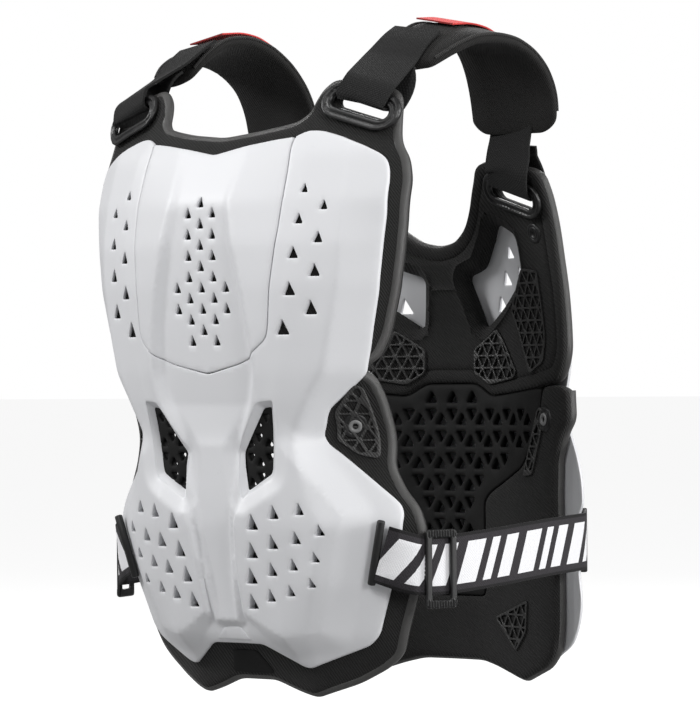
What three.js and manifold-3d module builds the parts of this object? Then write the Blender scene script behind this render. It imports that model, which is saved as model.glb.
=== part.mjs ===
// Roost deflector: hard chest and back shells on padded liners, joined by
// shoulder pads on webbing and by an elastic strap at each side.
// Millimetres. X to the wearer's left, Y to the back, Z up.
// The origin is between the undersides of the two shoulder pads, where the
// guard hangs on the shoulders.

import * as THREE from 'three';
import { mergeVertices } from 'three/addons/utils/BufferGeometryUtils.js';
import Module from 'manifold-3d';

// Sizes that the outlines and sections are shares of
const halfWidth = 140;
const plateHeight = 400;
const chestDepth = 160;
const backDepth = 150;

// Walls and clearances
const shellWall = 3.5;
const linerWall = 12.2;
const backLinerWall = 14;
const meshWall = 8;
const meshRecess = 1.5;
const seatGap = 0.3;
const seamGap = 0.4;
const channelDepth = 4.5;
const channelWall = 6;

// Webbing and the strap loops at the four lobes
const webbingWidth = 40;
const webbingWall = 2;
const webClearance = 2.8;
const webTurn = 1.4;
const webRise = 4.5;
const slotEase = 5;
const slotHeight = 11;
const loopProud = 6;
const loopRim = 7.5;
const loopLip = 8;
const slotLength = webbingWidth + slotEase;
const loopLength = slotLength + 2 * loopRim;
const loopHeight = slotHeight + 2 * loopLip;
const arcSteps = 4;

// Shoulder pads
const padWall = 10;
const patchWall = 1.2;
const patchWidth = 34;
const patchOffset = 8;

// Side straps
const strapWidth = 43;
const strapWall = 2;
const barRadius = 3;
const barOverhang = 3;
const barGap = 0.9;
const barSides = 10;
const chestBarTilt = -0.1;
const sliderBar = 5;
const sliderGap = 6;
const sliderWall = 3;
const sliderRim = 5;
const sliderEase = 2;
const sliderStation = { after: 2, share: 0.75, drop: 2.5 };

// Rivets
const waistRivetRadius = 10;
const lobeRivetRadius = 8;
const rivetHeight = 3.2;
const rivetSink = 2;
const rivetBevel = 1.2;
const rivetDish = 1;
const rivetRing = { outer: 0.62, inner: 0.55 };
const rivetSides = 14;
const rivetReach = 16;

// Vent pattern
const ventWidth = 10;
const ventRise = 1.15;
const latticePitch = 34;
const latticeStrut = 7;
const latticeTop = { chest: -0.075, back: -0.095 };

const weldDistance = 1e-4;
const up = new THREE.Vector3(0, 0, 1);
const barAxis = new THREE.Vector3(0, 1, 0);

const colours = {
  shell: { color: 0xdcdde0, roughness: 0.38, metalness: 0 },
  foam: { color: 0x232221, roughness: 0.8, metalness: 0 },
  mesh: { color: 0x151515, roughness: 0.9, metalness: 0 },
  loop: { color: 0x1c1c1c, roughness: 0.5, metalness: 0 },
  fabric: { color: 0x161616, roughness: 0.95, metalness: 0 },
  strap: { color: 0x2a282c, roughness: 0.85, metalness: 0 },
  patch: { color: 0xc8413f, roughness: 0.7, metalness: 0 },
  rivet: { color: 0x8a8a8a, roughness: 0.4, metalness: 0.2 },
};

// Cross sections of the chest shell's outer face, top row first. Across is a
// share of the half width, depth a share of the chest depth, up of the height.
const chestColumns = ['up', 'channel', 'ridgeAcross', 'ridgeDepth', 'flankAcross', 'flankDepth',
  'creaseAcross', 'creaseDepth', 'edgeAcross', 'edgeDepth', 'rimAcross', 'rimDepth'];
const chestSections = named(chestColumns, [
  [0.52, 0, 0.21, 0.7, 0.5, 0.655, 0.743, 0.59, 1, 0.52, 1.08, 0.5],
  [0.475, 0, 0.21, 0.74, 0.5, 0.695, 0.743, 0.63, 1, 0.56, 1.08, 0.535],
  [0.412, 0, 0.23, 0.82, 0.5, 0.77, 0.743, 0.7, 1, 0.6, 1.08, 0.56],
  [0.365, 0, 0.23, 0.87, 0.57, 0.82, 0.786, 0.756, 0.986, 0.637, 1.08, 0.563],
  [0.278, 0.3, 0.2, 0.98, 0.6, 0.875, 0.8, 0.812, 0.979, 0.7, 1.08, 0.613],
  [0.2, 0.9, 0.243, 1.006, 0.57, 0.92, 0.8, 0.844, 0.971, 0.706, 1.08, 0.62],
  [0.125, 1, 0.293, 1, 0.557, 0.934, 0.786, 0.85, 0.957, 0.7, 1.06, 0.613],
  [0.048, 1, 0.329, 0.984, 0.514, 0.934, 0.743, 0.856, 0.914, 0.688, 1.02, 0.6],
  [-0.033, 1, 0.35, 0.963, 0.471, 0.931, 0.693, 0.856, 0.843, 0.688, 0.93, 0.606],
  [-0.083, 1, 0.314, 0.944, 0.429, 0.925, 0.607, 0.863, 0.729, 0.706, 0.88, 0.6],
  [-0.15, 1, 0.221, 0.912, 0.357, 0.906, 0.507, 0.856, 0.6, 0.713, 0.88, 0.537],
  [-0.258, 1, 0.164, 0.894, 0.357, 0.881, 0.571, 0.819, 0.857, 0.613, 0.95, 0.543],
  [-0.312, 1, 0.15, 0.881, 0.4, 0.856, 0.643, 0.787, 0.957, 0.575, 1.045, 0.5],
  [-0.412, 1, 0.114, 0.831, 0.357, 0.806, 0.571, 0.762, 0.857, 0.562, 0.99, 0.463],
  [-0.515, 0.3, 0.1, 0.756, 0.357, 0.75, 0.471, 0.7, 0.757, 0.531, 0.88, 0.437],
  [-0.58, 0, 0.114, 0.62, 0.357, 0.613, 0.429, 0.6, 0.6, 0.512, 0.8, 0.42],
  [-0.65, 0, 0.114, 0.6, 0.357, 0.588, 0.429, 0.575, 0.6, 0.487, 0.8, 0.4],
]);

// Cross sections of the back liner's inner face
const backColumns = ['up', 'spineDepth', 'midAcross', 'midDepth', 'edgeAcross', 'edgeDepth', 'rimDepth'];
const backRimAcross = 1.15;
const backSections = named(backColumns, [
  [0.39, 0.68, 0.536, 0.5, 1, 0.45, 0.37],
  [0.34, 0.733, 0.5, 0.6, 1, 0.5, 0.41],
  [0.3, 0.787, 0.5, 0.647, 1, 0.547, 0.46],
  [0.245, 0.86, 0.429, 0.773, 1.007, 0.587, 0.5],
  [0.21, 0.88, 0.429, 0.813, 1.014, 0.6, 0.51],
  [0.145, 0.94, 0.429, 0.88, 1.029, 0.62, 0.54],
  [0.055, 1.02, 0.429, 0.953, 1.036, 0.647, 0.57],
  [-0.055, 1.013, 0.429, 0.953, 1.036, 0.66, 0.59],
  [-0.15, 0.993, 0.429, 0.927, 1, 0.68, 0.6],
  [-0.275, 0.98, 0.429, 0.9, 1, 0.687, 0.61],
  [-0.475, 0.98, 0.429, 0.907, 1, 0.693, 0.61],
  [-0.64, 0.98, 0.536, 0.9, 1, 0.693, 0.61],
]);

// Half outlines, from the top of the centre line round to its bottom
const chestShellOutline = [
  [0, 0.366], [0.2, 0.38], [0.379, 0.39], [0.489, 0.396], [0.543, 0.405], [0.614, 0.404],
  [0.721, 0.393], [0.843, 0.375], [0.921, 0.36], [0.954, 0.349], [0.971, 0.333], [0.979, 0.312],
  [0.979, 0.253], [0.964, 0.198], [0.936, 0.115], [0.9, 0.058], [0.871, 0.013], [0.836, -0.033],
  [0.814, -0.043], [0.693, -0.085], [0.657, -0.098], [0.629, -0.117], [0.6, -0.145], [0.614, -0.163],
  [0.721, -0.198], [0.9, -0.258], [0.939, -0.273], [0.954, -0.29], [0.95, -0.32], [0.857, -0.425],
  [0.8, -0.477], [0.764, -0.51], [0.707, -0.53], [0.386, -0.575], [0.171, -0.529], [0, -0.529],
];
const sternumOutline = [
  [0, 0.366], [0.2, 0.38], [0.379, 0.39], [0.479, 0.394], [0.471, 0.38], [0.482, 0.338],
  [0.486, 0.285], [0.479, 0.223], [0.464, 0.175], [0.443, 0.113], [0.429, 0.048], [0.414, 0.028],
  [0.357, 0.01], [0.314, -0.003], [0.221, -0.016], [0, -0.033],
];
const chestLinerOutline = [
  [0, 0.395], [0.214, 0.403], [0.357, 0.412], [0.45, 0.42], [0.5, 0.438], [0.507, 0.455],
  [0.529, 0.477], [0.586, 0.497], [0.907, 0.475], [0.943, 0.46], [0.957, 0.412], [0.971, 0.38],
  [1.014, 0.352], [1.036, 0.312], [1.029, 0.23], [1.014, 0.175], [0.986, 0.113], [0.929, 0.037],
  [0.871, -0.007], [0.8, -0.022], [0, -0.022],
];
const bellyLinerOutline = [
  [0, -0.024], [0.786, -0.024], [0.836, -0.042], [0.85, -0.08], [0.857, -0.15], [0.864, -0.205],
  [0.921, -0.247], [0.986, -0.28], [1.014, -0.315], [1, -0.375], [0.921, -0.443], [0.85, -0.507],
  [0.807, -0.547], [0.729, -0.57], [0.586, -0.598], [0.429, -0.618], [0.371, -0.625],
  [0.271, -0.615], [0.121, -0.595], [0, -0.595],
];
const chestMeshOutline = [
  [0, -0.065], [0.471, -0.065], [0.471, -0.23], [0.243, -0.295], [0, -0.295],
];
const backLinerOutline = [
  [0, 0.21], [0.129, 0.22], [0.229, 0.245], [0.343, 0.287], [0.4, 0.312], [0.457, 0.335],
  [0.5, 0.355], [0.571, 0.367], [0.929, 0.347], [0.979, 0.335], [1, 0.3], [1.011, 0.24],
  [1.021, 0.182], [1.036, 0.117], [1.036, 0.007], [1, -0.025], [0.943, -0.05], [0.714, -0.065],
  [0.3, -0.08], [0.179, -0.055], [0, -0.055],
];
const lumbarLinerOutline = [
  [0, -0.062], [0.164, -0.062], [0.293, -0.087], [0.707, -0.072], [0.957, -0.06], [1.05, -0.07],
  [1.071, -0.125], [1.007, -0.152], [0.979, -0.2], [0.986, -0.275], [1, -0.375], [1, -0.475],
  [0.986, -0.52], [0.95, -0.57], [0.814, -0.6], [0.571, -0.63], [0.507, -0.625], [0.329, -0.605],
  [0.207, -0.595], [0, -0.595],
];
const backMeshOutline = [
  [0, -0.062], [0.164, -0.062], [0.293, -0.087], [0.707, -0.072], [0.793, -0.069],
  [0.743, -0.145], [0.6, -0.217], [0.314, -0.268], [0.264, -0.285], [0.264, -0.472], [0, -0.472],
];
const backShellOutline = [
  [0, 0.18], [0.143, 0.193], [0.257, 0.22], [0.357, 0.245], [0.443, 0.262], [0.62, 0.266],
  [0.8, 0.25], [0.9, 0.232], [0.95, 0.2], [0.979, 0.15], [0.993, 0.05], [0.986, -0.025],
  [0.936, -0.075], [0.929, -0.113], [0.971, -0.15], [1.043, -0.195], [1.086, -0.24],
  [1.093, -0.285], [1.05, -0.305], [1.043, -0.325], [1.043, -0.425], [1.071, -0.47],
  [1.043, -0.512], [0.971, -0.555], [0.8, -0.588], [0.571, -0.613], [0.329, -0.585], [0, -0.575],
];

// Whole outlines on the wearer's left, mirrored for the right
const sideWindow = [
  [0.339, -0.087], [0.432, -0.083], [0.4, -0.21], [0.386, -0.223], [0.189, -0.263], [0.164, -0.175],
];
const backWindow = [
  [0.486, 0.247], [0.518, 0.25], [0.629, 0.228], [0.636, 0.205], [0.629, 0.16], [0.607, 0.145],
  [0.236, 0.055], [0.214, 0.059], [0.154, 0.145], [0.171, 0.155], [0.293, 0.168], [0.343, 0.188],
];

// Triangular vents, with the width as a share of the vent width
const ventColumns = ['across', 'up', 'width'];
const chestVents = named(ventColumns, [
  [0.596, 0.3, 0.6], [0.707, 0.269, 0.65], [0.586, 0.245, 0.7], [0.693, 0.211, 0.75],
  [0.571, 0.184, 0.8], [0.679, 0.152, 0.85], [0.554, 0.119, 0.9], [0.657, 0.085, 0.95],
  [0.511, 0.05, 1],
]);
const bellyVents = named(ventColumns, [
  [0.268, -0.302, 1.05], [0.4, -0.284, 0.9], [0.536, -0.278, 0.8],
  [0.243, -0.354, 1.05], [0.375, -0.338, 0.95], [0.504, -0.33, 0.85], [0.632, -0.316, 0.75],
  [0.218, -0.401, 1.05], [0.35, -0.388, 0.9], [0.471, -0.379, 0.8], [0.593, -0.365, 0.7],
  [0.2, -0.448, 1], [0.321, -0.436, 0.85], [0.436, -0.427, 0.75], [0.557, -0.412, 0.65],
]);
const backVents = named(ventColumns, [
  [0.5, 0.2, 0.9], [0.42, 0.15, 1], [0.34, 0.1, 1.1], [0.56, 0.16, 0.8],
]);
const sternumVents = {
  topUp: 0.28, rowStep: 0.0194, rows: 14, across: 0.082, width: 0.7, wideRows: [8, 10],
};

// Strap loops: centre as shares, slope of the slot in degrees, outer end low
const chestLoop = { across: 0.779, up: 0.4475, slope: 18 };
const backLoop = { across: 0.771, up: 0.3, slope: 18 };

// Routes on the wearer's left. Back is a share of the chest's depth in front of
// the origin and of the back's depth behind it, lean and lift of the pad's wall.
const padStations = named(['back', 'up', 'inner', 'outer', 'lean', 'wall'], [
  [-0.356, 0.5175, 0.714, 0.871, 0.02, 0.6], [-0.319, 0.5325, 0.657, 0.957, 0.3, 0.9],
  [-0.219, 0.565, 0.636, 1.014, 0.5, 1], [-0.075, 0.5925, 0.636, 1.057, 0.6, 1],
  [0.08, 0.5975, 0.621, 1.071, 0.6, 1], [0.233, 0.5875, 0.607, 1.079, 0.4, 1],
  [0.367, 0.5625, 0.586, 1.079, 0.1, 1], [0.467, 0.5275, 0.564, 1.079, -0.2, 1],
  [0.527, 0.485, 0.55, 1.079, -0.3, 1], [0.547, 0.44, 0.55, 1.064, -0.3, 0.9],
  [0.54, 0.4175, 0.614, 1.014, -0.3, 0.6],
]);
const padCrown = padStations.reduce((top, row) => (row.up > top.up ? row : top));
const patchStations = named(['back', 'up'], [[-0.094, 0.595], [0.067, 0.601], [0.2, 0.5952], [0.3, 0.581]]);
const webTopColumns = ['across', 'back', 'up', 'lift', 'sweep', 'drop'];
const chestWebTop = named(webTopColumns, [
  [0.757, -0.188, 0.5863, 0.5, 0, 0.2], [0.757, -0.275, 0.5663, 0.5, 0.05, 0.22],
  [0.764, -0.388, 0.5313, 0.5, 0.15, 0.28],
]);
const backWebTop = named(webTopColumns, [
  [0.786, 0.54, 0.4133, 0, -0.08, 0.02], [0.786, 0.513, 0.385, 0, -0.1, 0.15],
]);

// Free ends of the webbing, as shares of the loop's height from its slot
const webTailColumns = ['across', 'behind', 'rise', 'sweep', 'drop'];
const chestWebTail = named(webTailColumns, [
  [-0.04, 0.64, 1.08, 0.2, 0.3], [-0.065, 0.88, 1.23, 0.16, 0.28],
]);
const backWebTail = named(webTailColumns, [
  [0.06, -0.4, 1.11, -0.12, 0.2], [0.075, -0.55, 1.44, -0.08, 0.12],
]);

// Outward is the share of the back's whole wall that a station stands out by
const strapRoute = named(['across', 'back', 'up', 'lean', 'outward'], [
  [0.875, -0.628, -0.3613, 0.28, 0], [0.943, -0.594, -0.37, 0.16, 0], [1.025, -0.525, -0.3825, 0, 0],
  [1.075, -0.381, -0.3825, 0, 0], [1.111, -0.2, -0.3775, 0, 0], [1.136, 0, -0.3713, 0, 0],
  [1.146, 0.22, -0.365, 0, 0], [1.139, 0.427, -0.36, 0, 0], [1.121, 0.613, -0.3575, 0, 0],
  [1.099, 0.668, -0.3563, 0, 0.5], [1.077, 0.664, -0.355, 0, 1], [1.054, 0.684, -0.355, 0, 1],
]);

// Rivet places as shares
const rivets = [
  { name: 'chest_waist_rivet', across: 0.721, up: -0.13, radius: waistRivetRadius, owner: 'belly' },
  { name: 'back_lobe_rivet', across: 0.857, up: 0.23, radius: lobeRivetRadius, owner: 'back' },
  { name: 'back_waist_rivet', across: 0.836, up: -0.125, radius: waistRivetRadius, owner: 'lumbar' },
];

const wasm = await Module();
wasm.setup();

function named(columns, rows) {
  return rows.map((row) => Object.fromEntries(columns.map((column, index) => [column, row[index]])));
}

// A closed three.js geometry as a solid that can be joined and cut
function solidOf(geometry) {
  const bare = geometry.clone();
  bare.deleteAttribute('normal');
  bare.deleteAttribute('uv');
  const merged = mergeVertices(bare, weldDistance);
  const vertProperties = Float32Array.from(merged.attributes.position.array);
  const triVerts = Uint32Array.from(merged.index.array);
  return new wasm.Manifold(new wasm.Mesh({ numProp: 3, vertProperties, triVerts }));
}

function geometryOf(solid) {
  const mesh = solid.getMesh();
  const positions = Float32Array.from(mesh.vertProperties);
  const geometry = new THREE.BufferGeometry();
  geometry.setAttribute('position', new THREE.BufferAttribute(positions, 3));
  geometry.setIndex(new THREE.BufferAttribute(Uint32Array.from(mesh.triVerts), 1));
  geometry.computeVertexNormals();
  return geometry;
}

function indexedGeometry(points, triangles) {
  const geometry = new THREE.BufferGeometry();
  geometry.setAttribute('position', new THREE.Float32BufferAttribute(points.flat(), 3));
  geometry.setIndex(triangles.flat());
  return geometry;
}

// Points of the chest face across one section, from right rim to left rim
function chestRow(section) {
  const ridge = section.ridgeAcross * halfWidth;
  const crest = section.ridgeDepth * chestDepth;
  const floor = crest - section.channel * channelDepth;
  const half = [
    [0, floor],
    [ridge - channelWall, floor],
    [ridge, crest],
    [section.flankAcross * halfWidth, section.flankDepth * chestDepth],
    [section.creaseAcross * halfWidth, section.creaseDepth * chestDepth],
    [section.edgeAcross * halfWidth, section.edgeDepth * chestDepth],
    [section.rimAcross * halfWidth, section.rimDepth * chestDepth],
  ];
  return wholeRow(section.up * plateHeight, half.map(([across, depth]) => [across, -depth]));
}

function backRow(section) {
  const half = [
    [0, section.spineDepth],
    [section.midAcross / 2, (section.spineDepth * 3 + section.midDepth) / 4],
    [section.midAcross, section.midDepth],
    [section.edgeAcross, section.edgeDepth],
    [backRimAcross, section.rimDepth],
  ];
  const points = half.map(([across, depth]) => [across * halfWidth, depth * backDepth]);
  return wholeRow(section.up * plateHeight, points);
}

function wholeRow(z, half) {
  const mirrored = half.slice(1).reverse().map(([x, y]) => [-x, y]);
  return { z, points: [...mirrored, ...half] };
}

function pointAt(across, back, upward) {
  const depth = back < 0 ? chestDepth : backDepth;
  return new THREE.Vector3(across * halfWidth, back * depth, upward * plateHeight);
}

const chestRows = chestSections.map(chestRow);
const backRows = backSections.map(backRow);

// Where a face made of section rows lies at a place across and up
function faceAt(rows, x, z) {
  let lower = rows.findIndex((row) => row.z <= z);
  if (lower < 1) lower = lower < 0 ? rows.length - 1 : 1;
  const above = rows[lower - 1];
  const below = rows[lower];
  const share = (above.z - z) / (above.z - below.z);
  const points = above.points.map(([px, py], index) => [
    px + (below.points[index][0] - px) * share,
    py + (below.points[index][1] - py) * share,
  ]);
  let right = points.findIndex(([px]) => px > x);
  if (right < 1) right = right < 0 ? points.length - 1 : 1;
  const [x0, y0] = points[right - 1];
  const [x1, y1] = points[right];
  return y0 + ((y1 - y0) * (x - x0)) / (x1 - x0);
}

// A curved slab between two layers behind a face
function slab(rows, near, far) {
  const columns = rows[0].points.length;
  const points = [];
  for (const layer of [near, far]) {
    for (const row of rows) {
      for (const [x, y] of row.points) points.push([x, y + layer, row.z]);
    }
  }
  const at = (layer, row, column) => (layer * rows.length + row) * columns + column;
  const triangles = [];
  const quad = (a, b, c, d) => triangles.push([a, b, c], [a, c, d]);
  const lastRow = rows.length - 1;
  const lastColumn = columns - 1;
  for (let row = 0; row < lastRow; row += 1) {
    for (let column = 0; column < lastColumn; column += 1) {
      quad(at(0, row, column), at(0, row + 1, column), at(0, row + 1, column + 1), at(0, row, column + 1));
      quad(at(1, row, column), at(1, row, column + 1), at(1, row + 1, column + 1), at(1, row + 1, column));
    }
    quad(at(1, row + 1, 0), at(0, row + 1, 0), at(0, row, 0), at(1, row, 0));
    const outer = lastColumn;
    quad(at(1, row + 1, outer), at(1, row, outer), at(0, row, outer), at(0, row + 1, outer));
  }
  for (let column = 0; column < lastColumn; column += 1) {
    const next = column + 1;
    quad(at(0, 0, column), at(0, 0, next), at(1, 0, next), at(1, 0, column));
    quad(at(0, lastRow, column), at(1, lastRow, column), at(1, lastRow, next), at(0, lastRow, next));
  }
  return solidOf(indexedGeometry(points, triangles));
}

// A prism through the whole guard along Y, from points in millimetres
function prism(points) {
  const reach = 2 * (chestDepth + backDepth);
  const shape = new THREE.Shape(points.map(([x, z]) => new THREE.Vector2(x, z)));
  const geometry = new THREE.ExtrudeGeometry(shape, { depth: reach, bevelEnabled: false });
  geometry.rotateX(Math.PI / 2);
  geometry.translate(0, reach / 2, 0);
  return solidOf(geometry);
}

function scaled(outline, side = 1) {
  return outline.map(([across, up]) => [side * across * halfWidth, up * plateHeight]);
}

function whole(outline) {
  const half = scaled(outline);
  const mirrored = half.filter(([x]) => x > 0).reverse().map(([x, z]) => [-x, z]);
  return [...half, ...mirrored];
}

// An outline moved outward from its own edge line by a distance
function grown(points, distance) {
  const sharpest = 0.4;
  const count = points.length;
  const area = THREE.ShapeUtils.area(points.map(([x, z]) => new THREE.Vector2(x, z)));
  const turn = Math.sign(area);
  return points.map((point, index) => {
    const before = points[(index + count - 1) % count];
    const after = points[(index + 1) % count];
    const normals = [[before, point], [point, after]].map(([from, to]) => {
      const length = Math.hypot(to[0] - from[0], to[1] - from[1]);
      return [(turn * (to[1] - from[1])) / length, (-turn * (to[0] - from[0])) / length];
    });
    const sum = [normals[0][0] + normals[1][0], normals[0][1] + normals[1][1]];
    const reach = distance / Math.max(sharpest, (sum[0] * sum[0] + sum[1] * sum[1]) / 2);
    return [point[0] + sum[0] * reach, point[1] + sum[1] * reach];
  });
}

function ventPoints(vent, side = 1) {
  const x = side * vent.across * halfWidth;
  const z = vent.up * plateHeight;
  const half = (vent.width * ventWidth) / 2;
  const rise = half * ventRise;
  return [[x - half, z - rise], [x + half, z - rise], [x, z + rise]];
}

function bothSides(vents) {
  return vents.flatMap((vent) => [ventPoints(vent), ventPoints(vent, -1)]);
}

function sternumVentPoints() {
  const vents = [];
  for (let row = 0; row < sternumVents.rows; row += 1) {
    const rowUp = sternumVents.topUp - row * sternumVents.rowStep;
    const steps = row % 2 ? [-1, 1] : [0];
    if (sternumVents.wideRows.includes(row)) steps.push(-2, 2);
    for (const step of steps) {
      vents.push(ventPoints({ across: step * sternumVents.across, up: rowUp, width: sternumVents.width }));
    }
  }
  return vents;
}

// Triangular openings of a lattice, those whose corners all lie inside
function latticePoints(outline, topUp) {
  const inside = (x, z) => containsPoint(outline, x, z);
  const rise = (latticePitch * Math.sqrt(3)) / 2;
  const half = latticePitch / 2;
  const openings = [];
  const bottom = Math.min(...outline.map(([, z]) => z));
  const reach = Math.ceil(halfWidth / latticePitch);
  let row = 0;
  for (let top = topUp * plateHeight; top - rise > bottom - latticeStrut; top -= rise) {
    const shift = row % 2 ? half : 0;
    for (let step = -reach; step <= reach; step += 1) {
      const x = step * latticePitch + shift;
      const upright = [[x - half, top - rise], [x + half, top - rise], [x, top]];
      const hanging = [[x + latticePitch, top], [x + half, top - rise], [x, top]];
      for (const corners of [upright, hanging]) {
        const opening = grown(corners, -latticeStrut / 2);
        if (opening.every(([px, pz]) => inside(px, pz))) openings.push(opening);
      }
    }
    row += 1;
  }
  return openings;
}

function containsPoint(outline, x, z) {
  let inside = false;
  outline.forEach(([x0, z0], index) => {
    const [x1, z1] = outline[(index + 1) % outline.length];
    if ((z0 > z) !== (z1 > z) && x < ((x1 - x0) * (z - z0)) / (z1 - z0) + x0) inside = !inside;
  });
  return inside;
}

// A round-ended bar outline, such as a loop or its slot
function roundBar(place, side, length, height) {
  const angle = THREE.MathUtils.degToRad(-place.slope * side);
  const along = [Math.cos(angle), Math.sin(angle)];
  const radius = height / 2;
  const reach = length / 2 - radius;
  const centre = [side * place.across * halfWidth, place.up * plateHeight];
  const points = [];
  for (const end of [1, -1]) {
    for (let step = 0; step <= arcSteps; step += 1) {
      const turn = -Math.PI / 2 + (step * Math.PI) / arcSteps;
      const u = end * (reach + radius * Math.cos(turn));
      const v = end * radius * Math.sin(turn);
      points.push([centre[0] + along[0] * u - along[1] * v, centre[1] + along[1] * u + along[0] * v]);
    }
  }
  return points;
}

function cut(solid, outlines) {
  return outlines.reduce((rest, outline) => rest.subtract(prism(outline)), solid);
}

// A closed body through rings of points, with its ends capped
function loft(rings) {
  const count = rings[0].length;
  const points = rings.flat().map((point) => [point.x, point.y, point.z]);
  const triangles = [];
  for (let ring = 0; ring < rings.length - 1; ring += 1) {
    for (let step = 0; step < count; step += 1) {
      const next = (step + 1) % count;
      const a = ring * count + step;
      const b = ring * count + next;
      triangles.push([a, b, b + count], [a, b + count, a + count]);
    }
  }
  const last = (rings.length - 1) * count;
  for (let step = 1; step < count - 1; step += 1) {
    triangles.push([0, step + 1, step], [last, last + step, last + step + 1]);
  }
  return facingOut(points, triangles);
}

function facingOut(points, triangles) {
  const volume = triangles.reduce((sum, [a, b, c]) => {
    const [pa, pb, pc] = [a, b, c].map((index) => new THREE.Vector3(...points[index]));
    return sum + pa.dot(pb.cross(pc));
  }, 0);
  const turned = volume < 0 ? triangles.map(([a, b, c]) => [a, c, b]) : triangles;
  return indexedGeometry(points, turned);
}

function tangents(centres) {
  return centres.map((centre, index) => {
    const before = centres[Math.max(0, index - 1)];
    const after = centres[Math.min(centres.length - 1, index + 1)];
    return after.clone().sub(before).normalize();
  });
}

// A flat band along stations, each with a centre and a direction across
function band(centres, acrosses, width, wall) {
  const along = tangents(centres);
  const rings = centres.map((centre, index) => {
    const across = acrosses[index].clone().normalize();
    const normal = along[index].clone().cross(across).normalize();
    return [[-1, -1], [1, -1], [1, 1], [-1, 1]].map(([u, v]) => centre.clone()
      .addScaledVector(across, (u * width) / 2)
      .addScaledVector(normal, (v * wall) / 2));
  });
  return loft(rings);
}

function mirroredX(geometry) {
  const mirrored = geometry.clone().scale(-1, 1, 1);
  const index = mirrored.index.array;
  for (let corner = 0; corner < index.length; corner += 3) {
    [index[corner], index[corner + 1]] = [index[corner + 1], index[corner]];
  }
  return mirrored;
}

// Position and directions of a strap loop's slot on the liner's face
function loopFrame(rows, layer, place) {
  const x = place.across * halfWidth;
  const z = place.up * plateHeight;
  const angle = THREE.MathUtils.degToRad(place.slope);
  const direction = (dx, dz, step) => {
    const rise = faceAt(rows, x + dx * step, z + dz * step) - faceAt(rows, x - dx * step, z - dz * step);
    return new THREE.Vector3(dx, rise / (2 * step), dz);
  };
  return {
    centre: new THREE.Vector3(x, faceAt(rows, x, z) + layer, z),
    along: direction(Math.cos(angle), -Math.sin(angle), webbingWidth / 2),
    up: direction(Math.sin(angle), Math.cos(angle), loopHeight / 2),
  };
}

// Webbing from the pad down the loop's face, through its slot and up behind it
function webbing(rows, layer, place, wall, top, tail) {
  const frame = loopFrame(rows, layer, place);
  const front = loopProud + seatGap + webClearance;
  const behind = -wall - webTurn * webClearance;
  const bar = slotHeight / 2;
  const hairpin = [
    [front, loopHeight / 2 + webRise],
    [front, bar + webbingWall / 2],
    [front - webbingWall, bar - webClearance],
    [behind + webbingWall, bar - webClearance],
    [behind, bar + webbingWall / 2],
    [behind, loopHeight / 2 + webRise],
  ];
  const tailPoint = (row) => new THREE.Vector3(row.across * loopHeight, wall + row.behind * loopHeight,
    row.rise * loopHeight).add(frame.centre);
  const centres = [
    ...top.map((row) => pointAt(row.across, row.back, row.up).addScaledVector(up, row.lift * padWall)),
    ...hairpin.map(([out, rise]) => frame.centre.clone().addScaledVector(frame.up, rise)
      .add(new THREE.Vector3(0, -out, 0))),
    ...tail.map(tailPoint),
  ];
  const acrosses = [
    ...top.map((row) => new THREE.Vector3(1, row.sweep, -row.drop)),
    ...hairpin.map(() => frame.along),
    ...tail.map((row) => new THREE.Vector3(1, row.sweep, -row.drop)),
  ];
  return band(centres, acrosses, webbingWidth, webbingWall);
}

const backWall = backLinerWall + seatGap + shellWall;
const strapCentres = strapRoute.map((row) => pointAt(row.across, row.back, row.up)
  .add(new THREE.Vector3(0, row.outward * backWall, 0)));

function sideStrap() {
  const acrosses = strapRoute.map((row) => new THREE.Vector3(row.lean, 0, 1));
  return band(strapCentres, acrosses, strapWidth, strapWall);
}

// Padded strip bent over the shoulder, thinner at its edges
function shoulderPad() {
  const profile = [[-1, 0.3], [-0.85, 0.5], [0, 0.5], [0.85, 0.5], [1, 0.3],
    [1, -0.3], [0.85, -0.5], [0, -0.5], [-0.85, -0.5], [-1, -0.3]];
  const centres = padStations.map((row) => pointAt(0, row.back, row.up));
  const along = tangents(centres);
  const rings = padStations.map((row, index) => {
    const normal = new THREE.Vector3(1, 0, 0).cross(along[index]).normalize();
    const middle = ((row.inner + row.outer) / 2) * halfWidth;
    const reach = ((row.outer - row.inner) / 2) * halfWidth;
    return profile.map(([u, v]) => centres[index].clone().setX(middle + u * reach)
      .addScaledVector(normal, (v * row.wall - u * row.lean) * padWall));
  });
  return loft(rings);
}

// Flat patch on the crown of the pad, nearer the neck than the pad's middle
function shoulderPatch() {
  const middle = ((padCrown.inner + padCrown.outer) / 2) * halfWidth - patchOffset;
  const lean = (2 * padCrown.lean * padWall) / ((padCrown.outer - padCrown.inner) * halfWidth);
  const rise = (padWall + patchWall) / 2 + seatGap + lean * patchOffset;
  const centres = patchStations.map((row) => pointAt(0, row.back, row.up).setX(middle)
    .addScaledVector(up, rise));
  const acrosses = centres.map(() => new THREE.Vector3(1, 0, -lean));
  return band(centres, acrosses, patchWidth, patchWall);
}

function strapLoop(rows, place, side, near, far) {
  const body = slab(rows, near, far).intersect(prism(roundBar(place, side, loopLength, loopHeight)));
  return geometryOf(cut(body, [roundBar(place, side, slotLength, slotHeight)]));
}

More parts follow.
